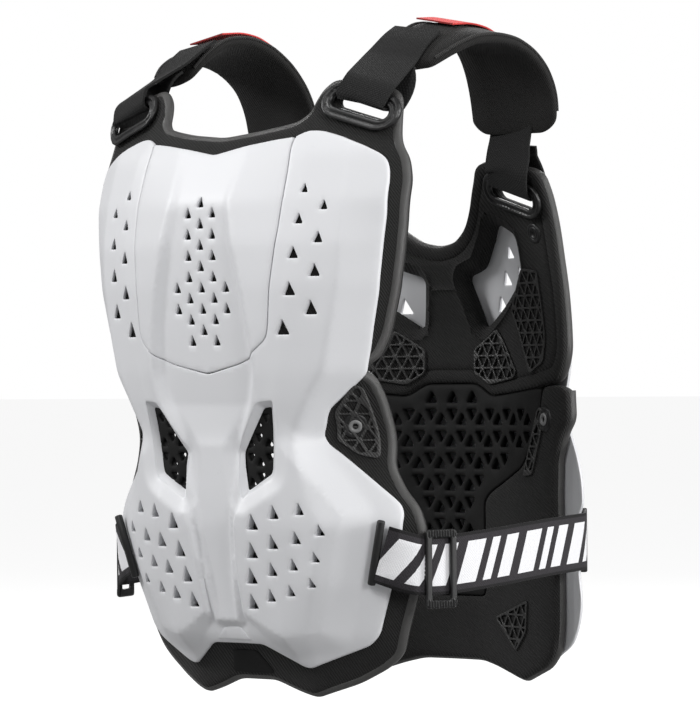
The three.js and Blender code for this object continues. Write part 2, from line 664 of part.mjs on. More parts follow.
// Round bar that an end of the side strap is fastened to
function strapBar(end, before, lean, tilt) {
  const outward = end.clone().sub(before).normalize();
  const middle = end.clone().addScaledVector(outward, barRadius + barGap);
  const axis = new THREE.Vector3(lean, tilt, 1).normalize();
  const geometry = new THREE.CylinderGeometry(barRadius, barRadius, strapWidth + 2 * barOverhang, barSides);
  geometry.applyQuaternion(new THREE.Quaternion().setFromUnitVectors(barAxis, axis));
  geometry.translate(middle.x, middle.y, middle.z);
  return bareGeometry(geometry);
}

function bareGeometry(geometry) {
  geometry.deleteAttribute('normal');
  geometry.deleteAttribute('uv');
  return mergeVertices(geometry, weldDistance);
}

// Buckle frame with upright bars, lying on the strap's outer face
function slider() {
  const width = 3 * sliderBar + 2 * sliderGap;
  const inner = strapWidth + sliderEase;
  const plate = new THREE.BoxGeometry(width, inner + 2 * sliderRim, sliderWall);
  const opening = new THREE.BoxGeometry(sliderGap, inner, sliderWall * 2);
  let frame = solidOf(plate);
  for (const turn of [-1, 1]) {
    frame = frame.subtract(solidOf(opening.clone().translate((turn * (sliderGap + sliderBar)) / 2, 0, 0)));
  }
  const geometry = geometryOf(frame);
  const [from, to] = strapCentres.slice(sliderStation.after);
  const along = to.clone().sub(from).setZ(0).normalize();
  const outward = along.clone().cross(up);
  geometry.applyMatrix4(new THREE.Matrix4().makeBasis(along, up, outward));
  const seat = from.clone().lerp(to, sliderStation.share)
    .addScaledVector(outward, (strapWall + sliderWall) / 2 + seatGap)
    .addScaledVector(up, -sliderStation.drop);
  return geometry.translate(seat.x, seat.y, seat.z);
}

// Where a rivet's head stands on a face, with its axis out of the face
function rivetFrame(rows, layer, rivet, side) {
  const x = side * rivet.across * halfWidth;
  const z = rivet.up * plateHeight;
  const step = 4;
  const slopeX = (faceAt(rows, x + step, z) - faceAt(rows, x - step, z)) / (2 * step);
  const slopeZ = (faceAt(rows, x, z + step) - faceAt(rows, x, z - step)) / (2 * step);
  const out = new THREE.Vector3(slopeX, -1, slopeZ).normalize();
  const turn = new THREE.Quaternion().setFromUnitVectors(barAxis, out);
  const floor = new THREE.Vector3(x, faceAt(rows, x, z) + layer, z).addScaledVector(out, -rivetSink);
  return new THREE.Matrix4().compose(floor, turn, new THREE.Vector3(1, 1, 1));
}

function rivetHead(radius) {
  const floor = rivetHeight - rivetDish;
  const profile = [[0, 0], [radius, 0], [radius, rivetHeight - rivetBevel],
    [radius - rivetBevel, rivetHeight], [radius * rivetRing.outer, rivetHeight],
    [radius * rivetRing.inner, floor], [0, floor]];
  const points = profile.map(([x, y]) => new THREE.Vector2(x, y + seatGap));
  return bareGeometry(new THREE.LatheGeometry(points, rivetSides));
}

function rivetPocket(radius) {
  const wide = radius + seatGap;
  const pocket = new THREE.CylinderGeometry(wide, wide, rivetReach, rivetSides);
  pocket.rotateY(Math.PI / rivetSides);
  return pocket.translate(0, rivetReach / 2, 0);
}

const faces = {
  belly: { rows: chestRows, layer: shellWall + seatGap },
  back: { rows: backRows, layer: 0 },
  lumbar: { rows: backRows, layer: 0 },
};

function withPockets(solid, owner) {
  let rest = solid;
  for (const rivet of rivets.filter((one) => one.owner === owner)) {
    for (const side of [1, -1]) {
      const { rows, layer } = faces[owner];
      const pocket = rivetPocket(rivet.radius).applyMatrix4(rivetFrame(rows, layer, rivet, side));
      rest = rest.subtract(solidOf(pocket));
    }
  }
  return rest;
}

const sides = [['left', 1], ['right', -1]];
const windows = sides.map(([, side]) => scaled(sideWindow, side));
const backWindows = sides.map(([, side]) => scaled(backWindow, side));
const linerNear = shellWall + seatGap;
const linerFar = linerNear + linerWall;

function chestShell() {
  const body = slab(chestRows, 0, shellWall).intersect(prism(whole(chestShellOutline)));
  const opening = grown(whole(sternumOutline), seamGap);
  const mouth = opening.map(([x, z]) => [x, z + linerWall]);
  const vents = [...bothSides(chestVents), ...bothSides(bellyVents)];
  return geometryOf(cut(body, [opening, mouth, ...windows, ...vents]));
}

function sternumPlate() {
  const body = slab(chestRows, 0, shellWall).intersect(prism(whole(sternumOutline)));
  return geometryOf(cut(body, sternumVentPoints()));
}

function chestLiner() {
  const body = slab(chestRows, linerNear, linerFar).intersect(prism(whole(chestLinerOutline)));
  const slots = sides.map(([, side]) => roundBar(chestLoop, side, slotLength, slotHeight));
  return geometryOf(cut(body, slots));
}

function bellyLiner() {
  const body = slab(chestRows, linerNear, linerFar).intersect(prism(whole(bellyLinerOutline)));
  const opening = grown(whole(chestMeshOutline), seamGap);
  return geometryOf(withPockets(cut(body, [opening]), 'belly'));
}

function chestMesh() {
  const near = linerNear + meshRecess;
  const body = slab(chestRows, near, near + meshWall).intersect(prism(whole(chestMeshOutline)));
  return geometryOf(cut(body, latticePoints(whole(chestMeshOutline), latticeTop.chest)));
}

function backShell() {
  const near = backLinerWall + seatGap;
  const body = slab(backRows, near, near + shellWall).intersect(prism(whole(backShellOutline)));
  return geometryOf(cut(body, bothSides(backVents)));
}

function backLiner() {
  const body = slab(backRows, 0, backLinerWall).intersect(prism(whole(backLinerOutline)));
  const slots = sides.map(([, side]) => roundBar(backLoop, side, slotLength, slotHeight));
  return geometryOf(withPockets(cut(body, [...slots, ...backWindows]), 'back'));
}

function lumbarLiner() {
  const body = slab(backRows, 0, backLinerWall).intersect(prism(whole(lumbarLinerOutline)));
  const opening = grown(whole(backMeshOutline), seamGap);
  const mouth = opening.map(([x, z]) => [x, z + backLinerWall]);
  return geometryOf(withPockets(cut(body, [opening, mouth]), 'lumbar'));
}

function backMesh() {
  const body = slab(backRows, meshRecess, meshRecess + meshWall).intersect(prism(whole(backMeshOutline)));
  const lowered = body.subtract(prism(grown(whole(backLinerOutline), seamGap)));
  return geometryOf(cut(lowered, latticePoints(whole(backMeshOutline), latticeTop.back)));
}

const group = new THREE.Group();
const guard = new THREE.Group();
guard.position.z = padWall / 2 - padCrown.up * plateHeight;
group.add(guard);

function add(name, geometry, finish) {
  const mesh = new THREE.Mesh(geometry, new THREE.MeshStandardMaterial(colours[finish]));
  mesh.name = name;
  guard.add(mesh);
  return mesh;
}

add('chest_shell', chestShell(), 'shell');
add('sternum_plate', sternumPlate(), 'shell');
add('chest_liner', chestLiner(), 'foam');
add('belly_liner', bellyLiner(), 'foam');
add('chest_mesh_pad', chestMesh(), 'mesh');
add('back_shell', backShell(), 'shell');
add('back_liner', backLiner(), 'foam');
add('lumbar_liner', lumbarLiner(), 'foam');
add('back_mesh_pad', backMesh(), 'mesh');

const chestWebbing = () => webbing(chestRows, linerNear, chestLoop, linerWall, chestWebTop, chestWebTail);
const backWebbing = () => webbing(backRows, 0, backLoop, backLinerWall, backWebTop, backWebTail);
const chestBar = () => strapBar(strapCentres[0], strapCentres[1], strapRoute[0].lean, chestBarTilt);
const backBar = () => strapBar(strapCentres.at(-1), strapCentres.at(-2), strapRoute.at(-1).lean, 0);

for (const [word, side] of sides) {
  const placed = (geometry) => (side > 0 ? geometry : mirroredX(geometry));
  const loopSeat = linerNear - seatGap;
  add(`chest_strap_loop_${word}`,
    strapLoop(chestRows, chestLoop, side, loopSeat - loopProud, loopSeat), 'loop');
  add(`back_strap_loop_${word}`,
    strapLoop(backRows, backLoop, side, -seatGap - loopProud, -seatGap), 'loop');
  add(`shoulder_pad_${word}`, placed(shoulderPad()), 'fabric');
  add(`shoulder_patch_${word}`, placed(shoulderPatch()), 'patch');
  add(`chest_webbing_${word}`, placed(chestWebbing()), 'fabric');
  add(`back_webbing_${word}`, placed(backWebbing()), 'fabric');
  add(`side_strap_${word}`, placed(sideStrap()), 'strap');
  add(`side_slider_${word}`, placed(slider()), 'loop');
  add(`chest_strap_bar_${word}`, placed(chestBar()), 'loop');
  add(`back_strap_bar_${word}`, placed(backBar()), 'loop');
  for (const rivet of rivets) {
    const { rows, layer } = faces[rivet.owner];
    const head = add(`${rivet.name}_${word}`, rivetHead(rivet.radius), 'rivet');
    head.applyMatrix4(rivetFrame(rows, layer, rivet, side));
  }
}

export default group;
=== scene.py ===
import math

import bpy
import bmesh
import numpy as np
from mathutils import Matrix, Vector
from mathutils.geometry import delaunay_2d_cdt
from mathutils.kdtree import KDTree


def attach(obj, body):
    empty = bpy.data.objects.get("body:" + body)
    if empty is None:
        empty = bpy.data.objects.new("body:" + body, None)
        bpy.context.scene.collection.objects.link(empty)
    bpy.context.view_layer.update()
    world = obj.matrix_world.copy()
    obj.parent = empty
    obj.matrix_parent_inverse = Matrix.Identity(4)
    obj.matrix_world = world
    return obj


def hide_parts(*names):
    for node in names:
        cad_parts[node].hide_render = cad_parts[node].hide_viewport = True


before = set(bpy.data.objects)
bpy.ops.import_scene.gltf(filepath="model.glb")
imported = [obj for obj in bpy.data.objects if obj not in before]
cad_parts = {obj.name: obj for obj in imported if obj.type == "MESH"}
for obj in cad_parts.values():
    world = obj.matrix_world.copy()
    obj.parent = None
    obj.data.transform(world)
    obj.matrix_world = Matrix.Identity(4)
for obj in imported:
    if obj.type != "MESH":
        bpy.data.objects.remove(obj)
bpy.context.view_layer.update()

bl_info = {
    "name": "Roost deflector",
    "version": (1, 0, 0),
    "blender": (4, 5, 0),
    "location": "View3D > Sidebar > Guard",
    "description": "Dresses a hard-shell chest and back protector around its frame",
    "category": "Add Mesh",
}

# Height of the chest's datum in the frame, whose origin is under the shoulder pads
DATUM = -0.234

# Outer face of the chest shell, top row first, as shares of the half width, the
# chest's depth and the plate's height
CHEST_COLUMNS = ("up", "channel", "ridge_across", "ridge_depth", "flank_across", "flank_depth",
                 "crease_across", "crease_depth", "edge_across", "edge_depth", "rim_across", "rim_depth")
CHEST_ROWS = (
    (0.52, 0, 0.21, 0.7, 0.5, 0.655, 0.743, 0.59, 1, 0.52, 1.08, 0.5),
    (0.475, 0, 0.21, 0.74, 0.5, 0.695, 0.743, 0.63, 1, 0.56, 1.08, 0.535),
    (0.412, 0, 0.23, 0.82, 0.5, 0.77, 0.743, 0.7, 1, 0.6, 1.08, 0.56),
    (0.365, 0, 0.23, 0.87, 0.57, 0.82, 0.786, 0.756, 0.986, 0.637, 1.08, 0.563),
    (0.278, 0.3, 0.2, 0.98, 0.6, 0.875, 0.8, 0.812, 0.979, 0.7, 1.08, 0.613),
    (0.2, 0.9, 0.243, 1.006, 0.57, 0.92, 0.8, 0.844, 0.971, 0.706, 1.08, 0.62),
    (0.125, 1, 0.293, 1, 0.557, 0.934, 0.786, 0.85, 0.957, 0.7, 1.06, 0.613),
    (0.048, 1, 0.329, 0.984, 0.514, 0.934, 0.743, 0.856, 0.914, 0.688, 1.02, 0.6),
    (-0.033, 1, 0.35, 0.963, 0.471, 0.931, 0.693, 0.856, 0.843, 0.688, 0.93, 0.606),
    (-0.083, 1, 0.314, 0.944, 0.429, 0.925, 0.607, 0.863, 0.729, 0.706, 0.88, 0.6),
    (-0.15, 1, 0.221, 0.912, 0.357, 0.906, 0.507, 0.856, 0.6, 0.713, 0.88, 0.537),
    (-0.258, 1, 0.164, 0.894, 0.357, 0.881, 0.571, 0.819, 0.857, 0.613, 0.95, 0.543),
    (-0.312, 1, 0.15, 0.881, 0.4, 0.856, 0.643, 0.787, 0.957, 0.575, 1.045, 0.5),
    (-0.412, 1, 0.114, 0.831, 0.357, 0.806, 0.571, 0.762, 0.857, 0.562, 0.99, 0.463),
    (-0.515, 0.3, 0.1, 0.756, 0.357, 0.75, 0.471, 0.7, 0.757, 0.531, 0.88, 0.437),
    (-0.58, 0, 0.114, 0.62, 0.357, 0.613, 0.429, 0.6, 0.6, 0.512, 0.8, 0.42),
    (-0.65, 0, 0.114, 0.6, 0.357, 0.588, 0.429, 0.575, 0.6, 0.487, 0.8, 0.4),
)

# Inner face of the back liner
BACK_COLUMNS = ("up", "spine_depth", "mid_across", "mid_depth", "edge_across", "edge_depth", "rim_depth")
BACK_RIM_ACROSS = 1.15
BACK_ROWS = (
    (0.39, 0.68, 0.536, 0.5, 1, 0.45, 0.37),
    (0.34, 0.733, 0.5, 0.6, 1, 0.5, 0.41),
    (0.3, 0.787, 0.5, 0.647, 1, 0.547, 0.46),
    (0.245, 0.86, 0.429, 0.773, 1.007, 0.587, 0.5),
    (0.21, 0.88, 0.429, 0.813, 1.014, 0.6, 0.51),
    (0.145, 0.94, 0.429, 0.88, 1.029, 0.62, 0.54),
    (0.055, 1.02, 0.429, 0.953, 1.036, 0.647, 0.57),
    (-0.055, 1.013, 0.429, 0.953, 1.036, 0.66, 0.59),
    (-0.15, 0.993, 0.429, 0.927, 1, 0.68, 0.6),
    (-0.275, 0.98, 0.429, 0.9, 1, 0.687, 0.61),
    (-0.475, 0.98, 0.429, 0.907, 1, 0.693, 0.61),
    (-0.64, 0.98, 0.536, 0.9, 1, 0.693, 0.61),
)

# Half outlines, from the top of the centre line round to its bottom
CHEST_SHELL = (
    (0, 0.366), (0.2, 0.38), (0.379, 0.39), (0.489, 0.396), (0.543, 0.405), (0.614, 0.404),
    (0.721, 0.393), (0.843, 0.375), (0.921, 0.36), (0.954, 0.349), (0.971, 0.333), (0.979, 0.312),
    (0.979, 0.253), (0.964, 0.198), (0.936, 0.115), (0.9, 0.058), (0.871, 0.013), (0.836, -0.033),
    (0.814, -0.043), (0.693, -0.085), (0.657, -0.098), (0.629, -0.117), (0.6, -0.145), (0.614, -0.163),
    (0.721, -0.198), (0.9, -0.258), (0.939, -0.273), (0.954, -0.29), (0.95, -0.32), (0.857, -0.425),
    (0.8, -0.477), (0.764, -0.51), (0.707, -0.53), (0.386, -0.575), (0.171, -0.529), (0, -0.529),
)
SEAM_TOP = 3
STERNUM = (
    (0, 0.366), (0.2, 0.38), (0.379, 0.39), (0.479, 0.394), (0.471, 0.38), (0.482, 0.338),
    (0.486, 0.285), (0.479, 0.223), (0.464, 0.175), (0.443, 0.113), (0.429, 0.048), (0.414, 0.028),
    (0.357, 0.01), (0.314, -0.003), (0.221, -0.016), (0, -0.033),
)
CHEST_LINER = (
    (0, 0.395), (0.214, 0.403), (0.357, 0.412), (0.45, 0.42), (0.5, 0.438), (0.507, 0.455),
    (0.529, 0.477), (0.586, 0.497), (0.907, 0.475), (0.943, 0.46), (0.957, 0.412), (0.971, 0.38),
    (1.014, 0.352), (1.036, 0.312), (1.029, 0.23), (1.014, 0.175), (0.986, 0.113), (0.929, 0.037),
    (0.871, -0.007), (0.8, -0.022), (0, -0.022),
)
BELLY_LINER = (
    (0, -0.024), (0.786, -0.024), (0.836, -0.042), (0.85, -0.08), (0.857, -0.15), (0.864, -0.205),
    (0.921, -0.247), (0.986, -0.28), (1.014, -0.315), (1, -0.375), (0.921, -0.443), (0.85, -0.507),
    (0.807, -0.547), (0.729, -0.57), (0.586, -0.598), (0.429, -0.618), (0.371, -0.625),
    (0.271, -0.615), (0.121, -0.595), (0, -0.595),
)
CHEST_MESH = ((0, -0.065), (0.471, -0.065), (0.471, -0.23), (0.243, -0.295), (0, -0.295))
BACK_LINER = (
    (0, 0.21), (0.129, 0.22), (0.229, 0.245), (0.343, 0.287), (0.4, 0.312), (0.457, 0.335),
    (0.5, 0.355), (0.571, 0.367), (0.929, 0.347), (0.979, 0.335), (1, 0.3), (1.011, 0.24),
    (1.021, 0.182), (1.036, 0.117), (1.036, 0.007), (1, -0.025), (0.943, -0.05), (0.714, -0.065),
    (0.3, -0.08), (0.179, -0.055), (0, -0.055),
)
LUMBAR_LINER = (
    (0, -0.062), (0.164, -0.062), (0.293, -0.087), (0.707, -0.072), (0.957, -0.06), (1.05, -0.07),
    (1.06, -0.125), (0.985, -0.152), (0.925, -0.2), (0.915, -0.275), (0.92, -0.375), (0.92, -0.475),
    (0.915, -0.52), (0.89, -0.57), (0.8, -0.6), (0.571, -0.63), (0.507, -0.625), (0.329, -0.605),
    (0.207, -0.595), (0, -0.595),
)
BACK_MESH = (
    (0, -0.0565), (0.175, -0.0565), (0.297, -0.0815), (0.71, -0.0668), (0.793, -0.0655),
    (0.743, -0.145), (0.6, -0.217), (0.314, -0.268), (0.264, -0.285), (0.264, -0.472), (0, -0.472),
)
MESH_MOUTH = 5
BACK_SHELL = (
    (0, 0.18), (0.143, 0.193), (0.257, 0.22), (0.357, 0.245), (0.443, 0.262), (0.62, 0.266),
    (0.8, 0.25), (0.9, 0.232), (0.95, 0.2), (0.979, 0.15), (0.993, 0.05), (0.986, -0.025),
    (0.936, -0.075), (0.929, -0.113), (0.971, -0.15), (1.043, -0.195), (1.086, -0.24),
    (1.093, -0.285), (1.05, -0.305), (1.043, -0.325), (1.043, -0.425), (1.071, -0.47),
    (1.043, -0.512), (0.971, -0.555), (0.8, -0.588), (0.571, -0.613), (0.329, -0.585), (0, -0.575),
)

# Whole outlines on the wearer's left, mirrored for the right
SIDE_WINDOW = ((0.339, -0.087), (0.432, -0.083), (0.4, -0.21), (0.386, -0.223), (0.189, -0.263),
               (0.164, -0.175))
BACK_WINDOW = (
    (0.486, 0.247), (0.518, 0.25), (0.629, 0.228), (0.636, 0.205), (0.629, 0.16), (0.607, 0.145),
    (0.236, 0.055), (0.214, 0.059), (0.154, 0.145), (0.171, 0.155), (0.293, 0.168), (0.343, 0.188),
)

# Ribbed grips on the liners' faces, on the wearer's left
BACK_GRIPS = (
    ((0.171, 0.012), (0.36, 0.052), (0.545, -0.035), (0.506, -0.046), (0.29, -0.058), (0.171, -0.035)),
    ((0.69, 0.165), (0.84, 0.158), (0.86, 0.025), (0.83, -0.015), (0.68, -0.038), (0.52, 0.085)),
)
LUMBAR_GRIPS = (
    ((0.63, -0.235), (0.72, -0.232), (0.81, -0.15), (0.815, -0.1), (0.765, -0.105)),
    ((0.36, -0.511), (0.662, -0.473), (0.642, -0.535), (0.533, -0.575)),
)
BACK_LINES = (
    ((-0.08, 0.129), (0.08, 0.129)), ((0.08, 0.129), (0.13, 0.09)), ((-0.08, 0.129), (-0.13, 0.09)),
)
WAIST_GRIP = (
    (0.665, -0.105), (0.77, -0.055), (0.8, -0.06), (0.825, -0.19), (0.735, -0.182), (0.645, -0.155),
)
BACK_SPINE = (
    (0.2, 0.16), (0.25, 0.06), (0.3, -0.05), (0.24, -0.16), (0.2, -0.25), (0.24, -0.34), (0.33, -0.46),
)
POD = (
    (0.4, -0.15), (0.508, -0.189), (0.73, -0.293), (0.63, -0.42), (0.545, -0.504), (0.359, -0.515),
    (0.135, -0.472), (0.14, -0.374), (0.16, -0.307), (0.205, -0.26), (0.3, -0.2),
)
SPINE = (
    (0, -0.07), (0.31, -0.085), (0.26, -0.12), (0.19, -0.175), (0.135, -0.25), (0.1, -0.34), (0.088, -0.42),
    (0.07, -0.485), (0, -0.485),
)
POD_TOP = -0.09
SHELL_TAB = ((-0.05, -0.498), (0.05, -0.498), (0.118, -0.5225), (-0.118, -0.5225))
LINER_TAB = ((-0.08, -0.542), (0.08, -0.542), (0.145, -0.586), (-0.145, -0.586))

# Triangular vents, with the width as a share of the vent width
CHEST_VENTS = (
    (0.596, 0.3, 0.6), (0.707, 0.269, 0.65), (0.586, 0.245, 0.7), (0.693, 0.211, 0.75),
    (0.571, 0.184, 0.8), (0.679, 0.152, 0.85), (0.554, 0.119, 0.9), (0.657, 0.085, 0.95),
    (0.511, 0.05, 1),
)
BELLY_VENTS = (
    (0.268, -0.302, 1.05), (0.4, -0.284, 0.9), (0.536, -0.278, 0.8),
    (0.243, -0.354, 1.05), (0.375, -0.338, 0.95), (0.504, -0.33, 0.85), (0.632, -0.316, 0.75),
    (0.218, -0.401, 1.05), (0.35, -0.388, 0.9), (0.471, -0.379, 0.8), (0.593, -0.365, 0.7),
    (0.2, -0.448, 1), (0.321, -0.436, 0.85), (0.436, -0.427, 0.75), (0.557, -0.412, 0.65),
)
BACK_VENTS = ((0.5, 0.2, 0.9), (0.42, 0.15, 1), (0.34, 0.1, 1.1), (0.56, 0.16, 0.8))
STERNUM_VENTS = {"top": 0.28, "step": 0.0194, "rows": 14, "across": 0.082, "width": 0.7, "wide": (8, 10)}

# Strap loops: centre as shares, slope of the slot in degrees
CHEST_LOOP = (0.779, 0.4475, 18)
BACK_LOOP = (0.771, 0.3, 18)

# Routes on the wearer's left: back is a share of the chest's or the back's depth
PAD_COLUMNS = ("back", "up", "inner", "outer", "lean", "wall")
PAD_STATIONS = (
    (-0.356, 0.5175, 0.714, 0.871, 0.02, 0.6), (-0.319, 0.5325, 0.657, 0.957, 0.3, 0.9),
    (-0.219, 0.565, 0.636, 1.014, 0.5, 1), (-0.075, 0.5925, 0.636, 1.057, 0.6, 1),
    (0.08, 0.5975, 0.621, 1.071, 0.6, 1), (0.233, 0.5875, 0.607, 1.079, 0.4, 1),
    (0.367, 0.5625, 0.586, 1.079, 0.1, 1), (0.467, 0.5275, 0.564, 1.079, -0.2, 1),
    (0.527, 0.485, 0.55, 1.079, -0.3, 1), (0.547, 0.44, 0.55, 1.07, -0.3, 0.9),
    (0.54, 0.4175, 0.56, 1.065, -0.3, 0.7),
)
PAD_CROWN = 4
PATCH_STATIONS = ((-0.094, 0.595), (0.067, 0.601), (0.2, 0.5952), (0.3, 0.581))
CHEST_WEB_TOP = (
    (0.757, -0.188, 0.5863, 0.5, 0, 0.2), (0.757, -0.275, 0.5663, 0.5, 0.05, 0.22),
    (0.764, -0.388, 0.5313, 0.5, 0.15, 0.28),
)
BACK_WEB_TOP = (
    (0.788, 0.546, 0.45, 0, -0.06, 0), (0.786, 0.54, 0.4133, 0, -0.08, 0.02),
    (0.786, 0.513, 0.385, 0, -0.1, 0.15),
)
CHEST_WEB_TAIL = ((-0.04, 0.64, 1.08, 0.2, 0.3), (-0.065, 0.88, 1.23, 0.16, 0.28))
BACK_WEB_TAIL = ((0.06, -0.4, 1.11, -0.12, 0.2), (0.075, -0.55, 1.44, -0.08, 0.12))
# Across, back, up, lean, and the share of the back's whole wall that it stands out by
STRAP_ROUTE = (
    (0.875, -0.628, -0.3613, 0.28, 0), (0.943, -0.594, -0.37, 0.16, 0), (1.025, -0.525, -0.3825, 0, 0),
    (1.075, -0.381, -0.3825, 0, 0), (1.111, -0.2, -0.3775, 0, 0), (1.136, 0, -0.3713, 0, 0),
    (1.146, 0.22, -0.365, 0, 0), (1.139, 0.427, -0.36, 0, 0), (1.121, 0.613, -0.3575, 0, 0),
    (1.099, 0.668, -0.3563, 0, 0.5), (1.077, 0.664, -0.355, 0, 1), (1.054, 0.684, -0.355, 0, 1),
)
RIVETS = (
    ("chest_waist_rivet", 0.721, -0.13, "waist_rivet", "chest", "rivet"),
    ("back_lobe_rivet", 0.857, 0.23, "lobe_rivet", "back", "loop"),
    ("back_waist_rivet", 0.836, -0.125, "waist_rivet", "back", "rivet"),
)
SIDES = (("left", 1), ("right", -1))


def length(name, description, default):
    return bpy.props.FloatProperty(name=name, description=description, default=default, unit="LENGTH",
                                   precision=4)


def colour(name, description, default):
    return bpy.props.FloatVectorProperty(name=name, description=description, default=default,
                                         subtype="COLOR", size=3, min=0, max=1)


class GUARD_PG_sizes(bpy.types.PropertyGroup):
    """Sizes that the plates, pads and straps follow"""
    half_width: length("Half width", "Half the width of the chest at its widest", 0.14)
    plate_height: length("Plate height", "Height that the outlines are shares of", 0.4)
    chest_depth: length("Chest depth", "Depth of the chest face in front of the origin", 0.16)
    back_depth: length("Back depth", "Depth of the back face behind the origin", 0.15)
    shell_wall: length("Shell wall", "Wall of the moulded shells", 0.0035)
    shell_edge: length("Shell edge", "Radius along the shells' edges", 0.0009)
    liner_wall: length("Chest liner", "Wall of the chest's padding", 0.0122)
    back_liner_wall: length("Back liner", "Wall of the back's padding", 0.014)
    mesh_wall: length("Mesh pad", "Wall of the open mesh pads", 0.008)
    mesh_recess: length("Mesh recess", "How far the mesh pads lie under the liners' faces", 0.0015)
    seat_gap: length("Seat gap", "Gap between a piece and what carries it", 0.0003)
    seam_gap: length("Seam gap", "Gap along a seam between two plates", 0.0007)
    channel_depth: length("Channel depth", "Depth of the channel down the chest", 0.0062)
    channel_wall: length("Channel wall", "Width of the channel's sloping wall", 0.0072)
    vent_width: length("Vent width", "Width of the largest vents", 0.01)
    lattice_pitch: length("Mesh pitch", "Pitch of the back mesh pad's triangles", 0.02)
    chest_pitch: length("Chest mesh pitch", "Pitch of the chest mesh pad's triangles", 0.0165)
    lattice_strut: length("Mesh strut", "Width of the mesh pads' struts", 0.0052)
    grip_pitch: length("Grip pitch", "Pitch of the ribs on the grips", 0.011)
    pod_height: length("Pods", "How far the vented fields at the waist stand out", 0.0052)
    pod_slope: length("Pod slope", "Width of the facets round the vented fields", 0.0155)
    spine_height: length("Spine", "How far the back shell's spine stands out", 0.0032)
    spine_ramp: length("Spine slope", "Width of the slope beside the back shell's spine", 0.0055)
    rim_radius: length("Rim", "Radius of the padded rim round the liners", 0.0046)
    rim_proud: length("Rim stand-out", "How far the padded rim passes the liner's edge", 0.0018)
    cord_radius: length("Cord", "Radius of the thin cord behind the rim", 0.0015)
    webbing_width: length("Webbing width", "Width of the shoulder webbing", 0.04)
    webbing_wall: length("Webbing wall", "Thickness of the shoulder webbing", 0.002)
    strap_width: length("Strap width", "Width of the side straps", 0.043)
    strap_wall: length("Strap wall", "Thickness of the side straps", 0.002)
    pad_wall: length("Pad wall", "Thickness of the shoulder pads", 0.01)
    waist_rivet: length("Waist rivet", "Radius of the rivets at the waist", 0.01)
    lobe_rivet: length("Lobe rivet", "Radius of the rivets at the back's lobes", 0.008)


class GUARD_PG_colours(bpy.types.PropertyGroup):
    """Colours of the shells, liners and straps"""
    shell: colour("Shell", "Moulded white shells", (0.69, 0.695, 0.715))
    foam: colour("Liner", "Cloth over the foam liners", (0.0083, 0.0081, 0.0079))
    mesh: colour("Mesh", "Open mesh pads", (0.0045, 0.0045, 0.0045))
    pad: colour("Pad", "Knitted cover of the shoulder pads", (0.007, 0.0067, 0.0064))
    webbing: colour("Webbing", "Shoulder webbing", (0.006, 0.006, 0.006))
    strap: colour("Strap", "Charcoal of the side straps", (0.022, 0.02, 0.023))
    motif: colour("Motif", "Slanted bars on the side straps", (0.8, 0.8, 0.82))
    patch: colour("Patch", "Woven patch on the shoulder", (0.42, 0.036, 0.034))
    plastic: colour("Fittings", "Black loops, buckles and bars", (0.006, 0.006, 0.0062))
    rivet: colour("Rivet", "Grey rings of the waist rivets", (0.19, 0.19, 0.19))


def sizes():
    return bpy.context.scene.guard_sizes


def colours():
    return bpy.context.scene.guard_colours


# Outlines

def place(across, up):
    return np.array((across * sizes().half_width, up * sizes().plate_height + DATUM))


def scaled(outline, side=1):
    return np.array([place(side * across, up) for across, up in outline])


def mirrored(points):
    return (points * (-1, 1))[::-1]


def whole(outline):
    half = scaled(outline)
    return np.vstack((half, mirrored(half[half[:, 0] > 1e-6])))


# Most of an edge that a corner's arc takes up, and the points on an arc
ARC_SHARE = 0.46
ARC_POINTS = 7


def bent(points, radius, closed=True):
    """Points with each corner turned into an arc, in two or three dimensions"""
    points = np.asarray(points, float)
    count = len(points)
    out = [] if closed else [points[0]]
    for index in range(count) if closed else range(1, count - 1):
        here, before, after = points[index], points[index - 1], points[(index + 1) % count]
        arms = [before - here, after - here]
        reach = min([radius] + [np.linalg.norm(arm) * ARC_SHARE for arm in arms])
        start, end = (here + arm / np.linalg.norm(arm) * reach for arm in arms)
        for t in np.linspace(0, 1, ARC_POINTS):
            out.append((1 - t) ** 2 * start + 2 * t * (1 - t) * here + t * t * end)
    if not closed:
        out.append(points[-1])
    return np.array(out)


def lengths(line):
    """The way along a line to each of its points"""
    return np.concatenate(((0,), np.cumsum(np.linalg.norm(np.diff(line, axis=0), axis=1))))


def spaced(points, step, closed=True):
    """Points set evenly along a line"""
    line = np.vstack((points, points[:1])) if closed else np.asarray(points)
    run = lengths(line)
    count = max(4, int(round(run[-1] / step)))
    at = np.linspace(0, run[-1], count + 1)
    if closed:
        at = at[:-1]
    return np.column_stack([np.interp(at, run, line[:, axis]) for axis in range(line.shape[1])])


def smooth_loop(outline, radius, step=0.0022):
    return spaced(bent(outline, radius), step)


def shifted(loop, distance):
    """A closed loop moved to its own left by a distance"""
    along = np.roll(loop, -1, axis=0) - np.roll(loop, 1, axis=0)
    along /= np.linalg.norm(along, axis=1)[:, None] + 1e-12
    return loop + np.column_stack((-along[:, 1], along[:, 0])) * distance


def signed_area(loop):
    x, z = loop[:, 0], loop[:, 1]
    return np.sum(x * np.roll(z, -1) - z * np.roll(x, -1)) / 2


def turned(loop, sign):
    """A closed loop, turned round if the sign of its area is the other one"""
    return loop if signed_area(loop) * sign > 0 else loop[::-1]


def corner_inset(outline, distance):
    """A polygon moved inward by a distance, with its corners kept"""
    points = turned(np.asarray(outline), 1)
    ahead = unit(np.roll(points, -1, axis=0) - points)
    left = np.column_stack((-ahead[:, 1], ahead[:, 0]))
    both = left + np.roll(left, 1, axis=0)
    sharpest = 0.4
    reach = distance / np.maximum(sharpest, 1 + np.sum(left * np.roll(left, 1, axis=0), axis=1))
    return points + both * reach[:, None]


